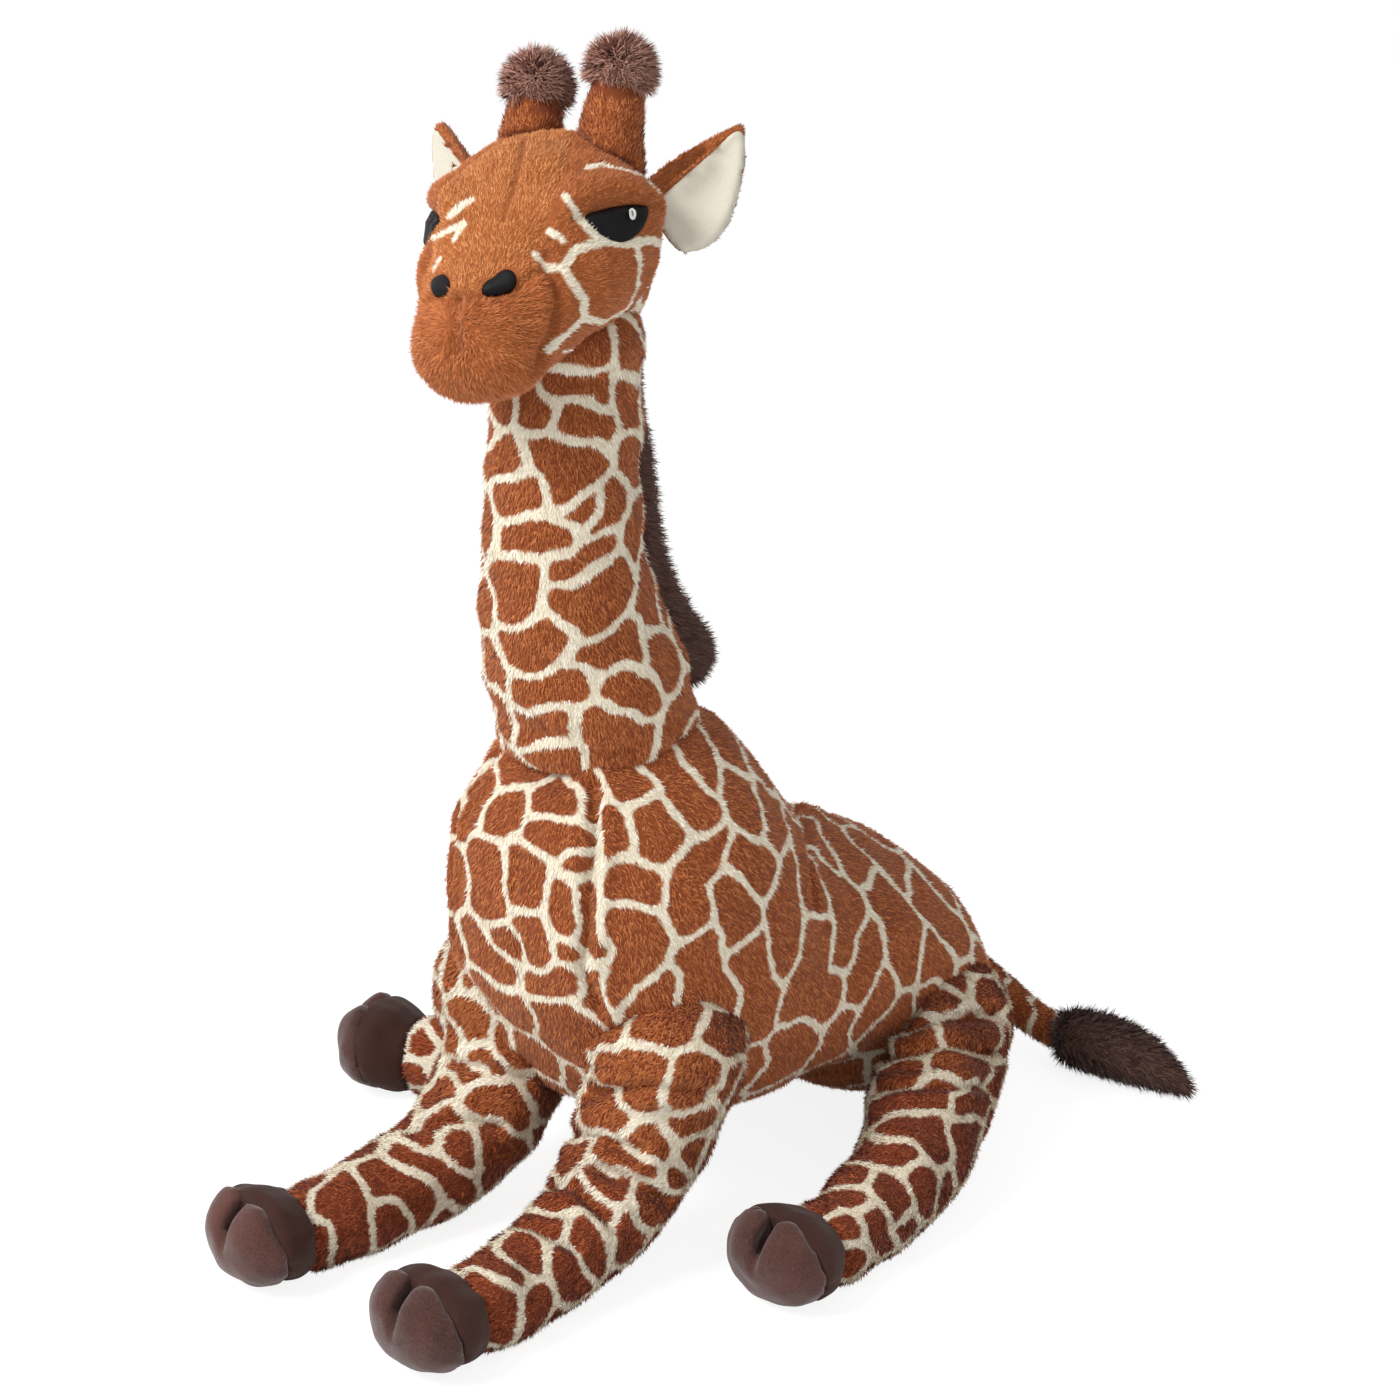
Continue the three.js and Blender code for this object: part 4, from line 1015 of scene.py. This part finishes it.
p = coords(mane)
p = p - normals(mane) * (2 * MM * under_head(p))[:, None]
set_coords(mane, clear_of_head(p))
forehead_seam = photo_line(head_tree, NOSE_SEAM_PX)
MARK_MM = CAMERA_DISTANCE / PHOTO_FOCUS / MM
head_marks = [(half_px * MARK_MM, photo_line(head_tree, px)) for half_px, px in
              CHEEK_MARKS_PX + BROW_MARKS_PX + FAR_MARKS_PX]
# The cheek's marks and the brow's longest one again on the far side, where the photo doesn't show it
for half_px, px in CHEEK_MARKS_PX + BROW_MARKS_PX[:1]:
    for part in unseen(head_tree, far_side(photo_line(head_tree, px))):
        if len(part) > 3:
            head_marks.append((half_px * MARK_MM, part))
head_patches = coat_patches(head, [], spacing=22 * MM, seed=12)


def head_edge(points):
    """Cream marks on the face, and patches like the neck's behind it."""
    h = in_head(points)
    face = np.full(len(points), 9.0)
    for half_mm, line in head_marks:
        face = np.minimum(face, line_distance(points, line) / MM - half_mm)
    face += 0.35 * waves(points, 6 * MM, 54)
    behind = patch_edge(points, head_patches, seed=51)
    back = smoothstep(2, 10, h[:, 1] + 0.25 * (40 - h[:, 2]))
    return np.where(back > 0.5, behind, face)


def face_zones(points):
    """Which points are on the plain panel down the face or the snout, and which below the nose's seam."""
    h = in_head(points)
    x, y = seen_at(from_head(np.column_stack([np.abs(h[:, 0]), h[:, 1], h[:, 2]])))
    edge_x, edge_y = np.array(PANEL_EDGE_PX).T
    nose_x, nose_y = np.array(NOSE_LINE_PX).T
    plain = (x < np.interp(y, edge_y, edge_x)) & (h[:, 1] < 20)
    return plain, plain & (y > np.interp(x, nose_x, nose_y))


patch_attribute(head, head_edge(coords(head)))

# Legs and hooves

def middle_of(node):
    low, high = (np.array(c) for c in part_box(node))
    return (low + high) / 2


leg_parts = {}
for name, joint, seed in (
    ("front_left", "shoulder_left_swing", 61),
    ("front_right", "shoulder_right_swing", 62),
    ("hind_left", "hip_left_swing", 63),
    ("hind_right", "hip_right_swing", 64),
):
    pivot = joints[joint]
    hoof = middle_of(f"hoof_wrap_{name}")
    fore = name.startswith("front")
    side = 1 if name.endswith("left") else -1
    bulge = ball(joint, (side * 5, -3, 7), 48) if fore else ball(joint, (side * 5, 2, 2), 43)
    leg = cover([f"leg_{name}"], leg_cover, [bulge], smoothing=9)
    p = coords(leg)
    held = np.exp(-(np.linalg.norm(p - hoof, axis=1) / (26 * MM)) ** 4)
    puffed(leg, held)
    subdivided(leg)
    leg_tree = tree_of(leg)
    p, n = skin(leg)
    for px in LEG_FOLDS_PX[name]:
        p = fold(p, n, line_distance(p, photo_line(leg_tree, px)), **LEG_FOLD)
    if not LEG_FOLDS_PX[name]:
        bend_at = pivot + unit(hoof - pivot) * 70 * MM
        p = fold(p, n, np.abs((p - bend_at) @ unit(hoof - pivot)), **HIDDEN_LEG_FOLD)
    p = p + n * (1.3 * MM * waves(p, 42 * MM, seed))[:, None]
    p[:, 2] = np.maximum(p[:, 2], 0.2 * MM)
    set_coords(leg, p)
    edge = coat_edge(leg, LEG_PATCHES_PX[name], 19 * MM, seeds=(seed, seed + 20), cream=LEG_CREAM_HALF_MM)
    down = np.array([0, 0, -1.0])
    flat = unit((hoof - pivot) * [1, 1, 0])
    if fore:
        start, end = pivot + down * 8 * MM, pivot + down * 46 * MM + flat * 8 * MM
    else:
        start, end = pivot + flat * 12 * MM, pivot + flat * 52 * MM
    leg_parts[name] = (leg, edge, pivot, hoof, ("torso", f"leg_{name}", tuple(start), tuple(end)), seed)


hooves = []
for name in leg_parts:
    centre = middle_of(f"hoof_sole_{name}")
    out = unit((centre - middle_of(f"hoof_wrap_{name}")) * [1, 1, 0])
    across = np.array([-out[1], out[0], 0])
    for kind, cloth in (("wrap", wrap_cloth), ("sole", sole_cloth)):
        piece = cover([f"hoof_{kind}_{name}"], cloth, voxel=HOOF_VOXEL, smoothing=5, grow=0.6 * MM)
        subdivided(piece)
        p, n = skin(piece)
        u = (p - centre) @ across / MM
        v = (p[:, 2] - centre[2]) / MM
        if kind == "sole":
            cleft = np.exp(-(u / 3.4) ** 2) * smoothstep(-6, 16, v)
            lobes = np.exp(-((np.abs(u) - 15) / 11) ** 2) * smoothstep(-4, 18, v)
            p = p + n * ((lobes * 3.8 - cleft * 7.0) * MM)[:, None]
        p = p + n * (0.5 * MM * waves(p, 24 * MM, 71))[:, None]
        p[:, 2] = np.maximum(p[:, 2], 0)
        set_coords(piece, p)
        hooves.append((piece, kind, name))

# Eyes and nostrils, stitched patches on the cover

def rounded(outline):
    """A closed outline with its corners cut off twice."""
    points = np.array(outline, float)
    for _ in range(2):
        after = np.roll(points, -1, axis=0)
        points = np.stack([points * 0.75 + after * 0.25, points * 0.25 + after * 0.75], 1).reshape(-1, 2)
    return points


def filled(outline, step):
    """Triangles over the inside of a flat outline, and how far each point is from the outline."""
    low, high = outline.min(0), outline.max(0)
    grid = [(x, y) for x in np.arange(low[0], high[0], step) for y in np.arange(low[1], high[1], step)]
    flat = [Vector(q) for q in [*outline, *grid]]
    verts, _, faces, _, _, _ = delaunay_2d_cdt(flat, [], [list(range(len(outline)))], 1, 1e-4)
    points = np.array([tuple(v) for v in verts])
    closed = np.concatenate([outline, outline[:1]])
    closed = np.column_stack([closed, np.zeros(len(closed))])
    gap = line_distance(np.column_stack([points, np.zeros(len(points))]), closed)
    return points, [list(f) for f in faces], gap


def sewn_on(name, tree, places, faces, gap, proud, cloth):
    """A closed patch that lies on a cover and is full in the middle."""
    top, under = [], []
    for place, away_mm in zip(places, gap):
        where, normal, _, _ = tree.find_nearest(Vector(place))
        full = 1 - math.exp(-away_mm / 1.1)
        top.append(np.array(where + normal * (proud * (0.35 + 0.65 * full))))
        under.append(np.array(where - normal * 0.8 * MM))
    count = len(top)
    solid = [list(f) for f in faces] + [[i + count for i in reversed(f)] for f in faces]
    ends = dict.fromkeys((a, b) for f in faces for a, b in zip(f, f[1:] + f[:1]))
    solid += [[b, a, a + count, b + count] for a, b in ends if (b, a) not in ends]
    obj = new_object(name, np.array(top + under), solid, [cloth])
    tool = bmesh.new()
    tool.from_mesh(obj.data)
    bmesh.ops.recalc_face_normals(tool, faces=tool.faces)
    tool.to_mesh(obj.data)
    tool.free()
    return obj


def on_cover(outline_px, tree, step=2.4):
    flat, faces, gap = filled(rounded(outline_px), step)
    return np.array([on_photo(tree, px) for px in flat]), faces, gap * MARK_MM


eye_places, eye_faces, eye_gap = on_cover(EYE_PX, head_tree)
far_eye = far_side(eye_places, turned=True)
sewn = [
    sewn_on("eye_left_stitch", head_tree, eye_places, eye_faces, eye_gap, 1.8 * MM, eye_stitch),
    sewn_on("eye_right_stitch", head_tree, far_eye, eye_faces, eye_gap, 1.8 * MM, eye_stitch),
]
for word, outline_px in NOSTRIL_PX.items():
    patch = on_cover(outline_px, head_tree)
    sewn.append(sewn_on(f"nostril_{word}_stitch", head_tree, *patch, 1.5 * MM, eye_stitch))


def glint(word, eye):
    """The small ring of white stitches on an eye."""
    points, faces = node_mesh(f"eye_glint_{word}")
    obj = new_object(f"eye_glint_{word}_stitch", points, faces, [white_stitch])
    remeshed(obj, GLINT_VOXEL, 1)
    p = coords(obj)
    if word == "right":
        p = from_head(in_head(p) @ eye_spin.T)
    middle = p.mean(0)
    tree = tree_of(eye)
    moved = np.empty_like(p)
    _, facing, _, _ = tree.find_nearest(Vector(middle))
    for i, point in enumerate(p):
        where, normal, _, _ = tree.find_nearest(Vector(point))
        above = float(np.clip((Vector(point) - where).dot(facing), 0, 1.4 * MM))
        moved[i] = where + facing * (0.7 * MM + above * 0.6)
    # A ring: the threads lie lower in its middle, which is painted grey as shade
    away_mm = (moved - moved.mean(0)) / MM
    upwards = unit(head_turn[:, 2])
    height = away_mm @ upwards
    aside = np.linalg.norm(away_mm - height[:, None] * upwards, axis=1)
    reach = (height / 2.3) ** 2 + (aside / 0.75) ** 2
    moved -= np.array(facing) * (0.3 * MM * np.exp(-reach ** 2))[:, None]
    set_coords(obj, moved)
    patch_attribute(obj, 2.2 * (reach - 1))
    return obj


glints = [glint("left", sewn[0]), glint("right", sewn[1])]

# Ears, horns and tail

def ear_frame(word):
    """Axes of an ear as columns: to its tip, out of its lining and across, and its root."""
    root = joints[f"ear_{word}_flap"]
    points = node_mesh(f"ear_{word}")[0]
    tip = points[np.argmax(np.linalg.norm(points - root, axis=1))]
    lengthways = unit(tip - root)
    front = node_mesh(f"ear_lining_{word}")[0]
    spread = front - front.mean(0)
    outwards = np.linalg.svd(spread, full_matrices=False)[2][2]
    outwards = unit(outwards - lengthways * (outwards @ lengthways))
    outwards = outwards * np.sign((front.mean(0) - points.mean(0)) @ outwards)
    return np.column_stack([lengthways, outwards, np.cross(lengthways, outwards)]), root


small = []
for word in ("left", "right"):
    ear = cover([f"ear_{word}", f"ear_lining_{word}"], face_cover, voxel=EAR_VOXEL, smoothing=8, grow=0.7 * MM)
    subdivided(ear)
    patch_attribute(ear, 3.0)
    turn, root = ear_frame(word)
    e = (coords(ear) - root) @ turn
    length = e[:, 0].max()
    across = e[:, 2] / (0.42 * length)
    inner_side = smoothstep(0.1, 0.6, normals(ear) @ turn[:, 1])
    dish = np.exp(-((e[:, 0] / length - 0.45) / 0.28) ** 2 - across ** 2) * inner_side
    e[:, 1] -= 3.2 * MM * dish
    set_coords(ear, e @ turn.T + root)
    if word == "left":
        lining_places, lining_faces, lining_gap = on_cover(LINING_PX, tree_of(ear), 3.2)
        lining_shape = (lining_places - root) @ turn
        places = lining_places
    else:
        places = (lining_shape * [1, 1, -1]) @ turn.T + root
    lining = sewn_on(f"ear_lining_{word}_cover", tree_of(ear), places, lining_faces, lining_gap, 1.5 * MM,
                     lining_cloth)
    horn = cover([f"horn_{word}"], coat_cover, voxel=SMALL_VOXEL, smoothing=5, grow=0.4 * MM)
    patch_attribute(horn, 3.0)
    tuft = cover([f"horn_tuft_{word}"], tuft_cover, voxel=SMALL_VOXEL, smoothing=4, grow=-4 * MM)
    small.append((word, ear, lining, horn, tuft))

tail = cover(["tail"], coat_cover, [ball("tail_swing", (0, 0, 0), 12.5)], voxel=SMALL_VOXEL,
             smoothing=5, grow=1.6 * MM)
tuft_root = middle_of("tail_tuft")
tuft_root[0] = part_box("tail_tuft")[0][0]


def tail_edge(points):
    """Bands of brown round the tail, parted by cream."""
    reach = np.linalg.norm((points - joints["tail_swing"])[:, :2], axis=1) / MM
    return 5.5 * np.abs(((reach / 17 + 0.12 * waves(points, 20 * MM, 81)) % 1) - 0.5) * 4 - 2.6


patch_attribute(tail, tail_edge(coords(tail)))
tail_tuft = cover(["tail_tuft"], dark_cover, voxel=SMALL_VOXEL, smoothing=4, grow=-4 * MM)

# Pile, sown on the finished covers

torso_pile = pile(torso, along((0, 0.45, -1)), coat_tone(torso_edge, 91), brown_pile + cream_pile, lift=0.4,
                  wild=0.3)
neck_pile = pile(neck, along((0, 0.1, -1)), coat_tone(neck_edge, 92), brown_pile + cream_pile,
                 others=(torso, head), lift=0.4, wild=0.3)


def head_tone(points):
    inner = mingled(head_edge(points))
    shade = shade_of(points, 93)
    plain, snout = face_zones(points)
    cream = 2 * SHADES + shade_of(points, 94, len(CREAMS))
    return np.where(inner < 0, cream, np.where(plain & ~snout, SHADES + shade, shade))


def head_length(points):
    """The snout's pile is longer than the rest of the face's, and the seam up the forehead parts it."""
    parted = 1 - 0.7 * np.exp(-(line_distance(points, forehead_seam) / (2.2 * MM)) ** 2)
    return np.where(face_zones(points)[1], 4.4, 3.1) * parted * MM


head_pile = pile(head, away(from_head((0, -112, 34))), head_tone,
                 brown_pile + caramel_pile + cream_pile, others=(neck,), bare=sewn, length=head_length,
                 width=0.75 * MM, dense=1.6, lift=0.38, wild=0.3)


def mane_length(points):
    return (MANE_LENGTH_MM - MANE_CUT_MM * under_head(points)) * MM


mane_pile = pile(mane, along((0, 0.75, -0.65)), shades(95), dark_pile, others=(neck, head), width=1.3 * MM,
                 length=mane_length, dense=3, lift=0.75, wild=0.45)

finished(torso, "coat", ["torso"], body="torso", blades=torso_pile)
finished(neck, "coat", ["neck"], bend=neck_bend, blades=neck_pile)
finished(mane, "long_pile", ["mane"], bend=neck_bend, blades=mane_pile)
finished(head, "coat", ["head", "muzzle"], body="head", blades=head_pile)
for word, eye, nostril, ring_of_white in zip(("left", "right"), sewn[:2], sewn[2:], glints):
    finished(eye, "black_embroidery", [f"eye_{word}"], body="head")
    finished(nostril, "black_embroidery", [f"nostril_{word}"], body="head")
    finished(ring_of_white, "white_embroidery", [f"eye_glint_{word}"], body="head")

for name, (leg, edge, pivot, hoof, bend, seed) in leg_parts.items():
    finished(leg, "coat", [f"leg_{name}"], bend=bend, blades=pile(
        leg, towards(hoof), leg_tone(edge, pivot, hoof, seed + 30), brown_pile + red_pile + cream_pile,
        others=(torso,), length=4.2 * MM, width=0.95 * MM, dense=1.2, lift=0.5, wild=0.4))

for piece, kind, name in hooves:
    finished(piece, f"hoof_{kind}", [f"hoof_{kind}_{name}"], body=f"leg_{name}")

for word, ear, lining, horn, tuft in small:
    finished(ear, "coat", [f"ear_{word}"], body=f"ear_{word}", blades=pile(
        ear, away(joints[f"ear_{word}_flap"]), shades(96), brown_pile, others=(head,), bare=(lining,),
        length=3.0 * MM, width=0.8 * MM, dense=1.4, lift=0.35))
    finished(lining, "ear_lining", [f"ear_lining_{word}"], body=f"ear_{word}")
    finished(horn, "coat", [f"horn_{word}"], body="head", blades=pile(
        horn, along((0, 0.1, 1)), shades(97), brown_pile, others=(head, tuft), length=3.8 * MM, dense=1.3,
        lift=0.4))
    finished(tuft, "horn_pile", [f"horn_tuft_{word}"], body="head", blades=pile(
        tuft, along((0.1, 0.2, -0.6)), shades(98), tuft_pile, others=(horn,), length=8 * MM, width=1.2 * MM,
        dense=2.2, lift=1.0, wild=0.8))

finished(tail, "coat", ["tail"], body="tail", blades=pile(
    tail, towards(tuft_root), coat_tone(tail_edge, 99), brown_pile + cream_pile, others=(torso, tail_tuft),
    length=4 * MM, width=1.1 * MM))
finished(tail_tuft, "long_pile", ["tail_tuft"], body="tail", blades=pile(
    tail_tuft, away(tuft_root), shades(100), dark_pile, length=10 * MM, width=1.6 * MM, dense=1.4, lift=0.45))


# Floor, light and camera

paper = principled("floor_paper", FLOOR_GREY, 0.9)
tree = paper.node_tree
glow = add_node(tree, "Emission", {"Strength": FLOOR_GLOW})
to_camera_ray = add_node(tree, "LightPath", output="Is Camera Ray")
share = add_node(tree, "Math", {0: to_camera_ray, 1: GLOW_SHARE}, operation="MULTIPLY")
blend = add_node(tree, "MixShader", {"Fac": share, 1: tree.nodes["Principled BSDF"].outputs[0], 2: glow})
set_inputs(tree.nodes["Material Output"], {"Surface": blend})
corners = [(x * FLOOR_REACH, y * FLOOR_REACH, 0) for x, y in ((-1, -1), (1, -1), (1, 1), (-1, 1))]
floor = new_object("floor", corners, [(0, 1, 2, 3)], [paper])

# The sky is plain white to the camera and in reflections, and lights the scene less than that
world = bpy.data.worlds.new("sky")
scene.world = world
world.use_nodes = True
tree = world.node_tree
tree.nodes.clear()
rays = tree.nodes.new("ShaderNodeLightPath").outputs
either = add_node(tree, "Math", {0: rays["Is Camera Ray"], 1: rays["Is Glossy Ray"]}, operation="MAXIMUM")
any_ray = add_node(tree, "Math", {0: either, 1: rays["Is Transmission Ray"]}, operation="MAXIMUM")
lit, seen = (add_node(tree, "Background", {"Color": (1, 1, 1, 1), "Strength": s}) for s in (SKY_LIGHT, 1.0))
mixer = add_node(tree, "MixShader", {"Fac": any_ray, 1: lit, 2: seen})
set_inputs(tree.nodes.new("ShaderNodeOutputWorld"), {"Surface": mixer})


def lamp(name, place, size, watts):
    obj = placed(name, set_up(bpy.data.lights.new(name, "AREA"), shape="DISK", size=size, energy=watts))
    obj.location = place
    obj.rotation_euler = (Vector(LAMPS_AIM) - Vector(place)).to_track_quat("-Z", "Y").to_euler()


lamp("key", place=(-0.35, -2.3, 2.4), size=1.4, watts=86)
lamp("fill", place=(2.4, -1.0, 1.4), size=1.8, watts=8)

camera_data = set_up(bpy.data.cameras.new("camera"), lens=CAMERA_LENS, sensor_width=CAMERA_SENSOR,
                     clip_end=CAMERA_REACH)
camera = placed("camera", camera_data)
turn = Matrix((camera_right, camera_up, to_camera)).transposed().to_4x4()
camera.matrix_world = Matrix.Translation(camera_place) @ turn
scene.camera = camera
scene.view_settings.view_transform = "Standard"
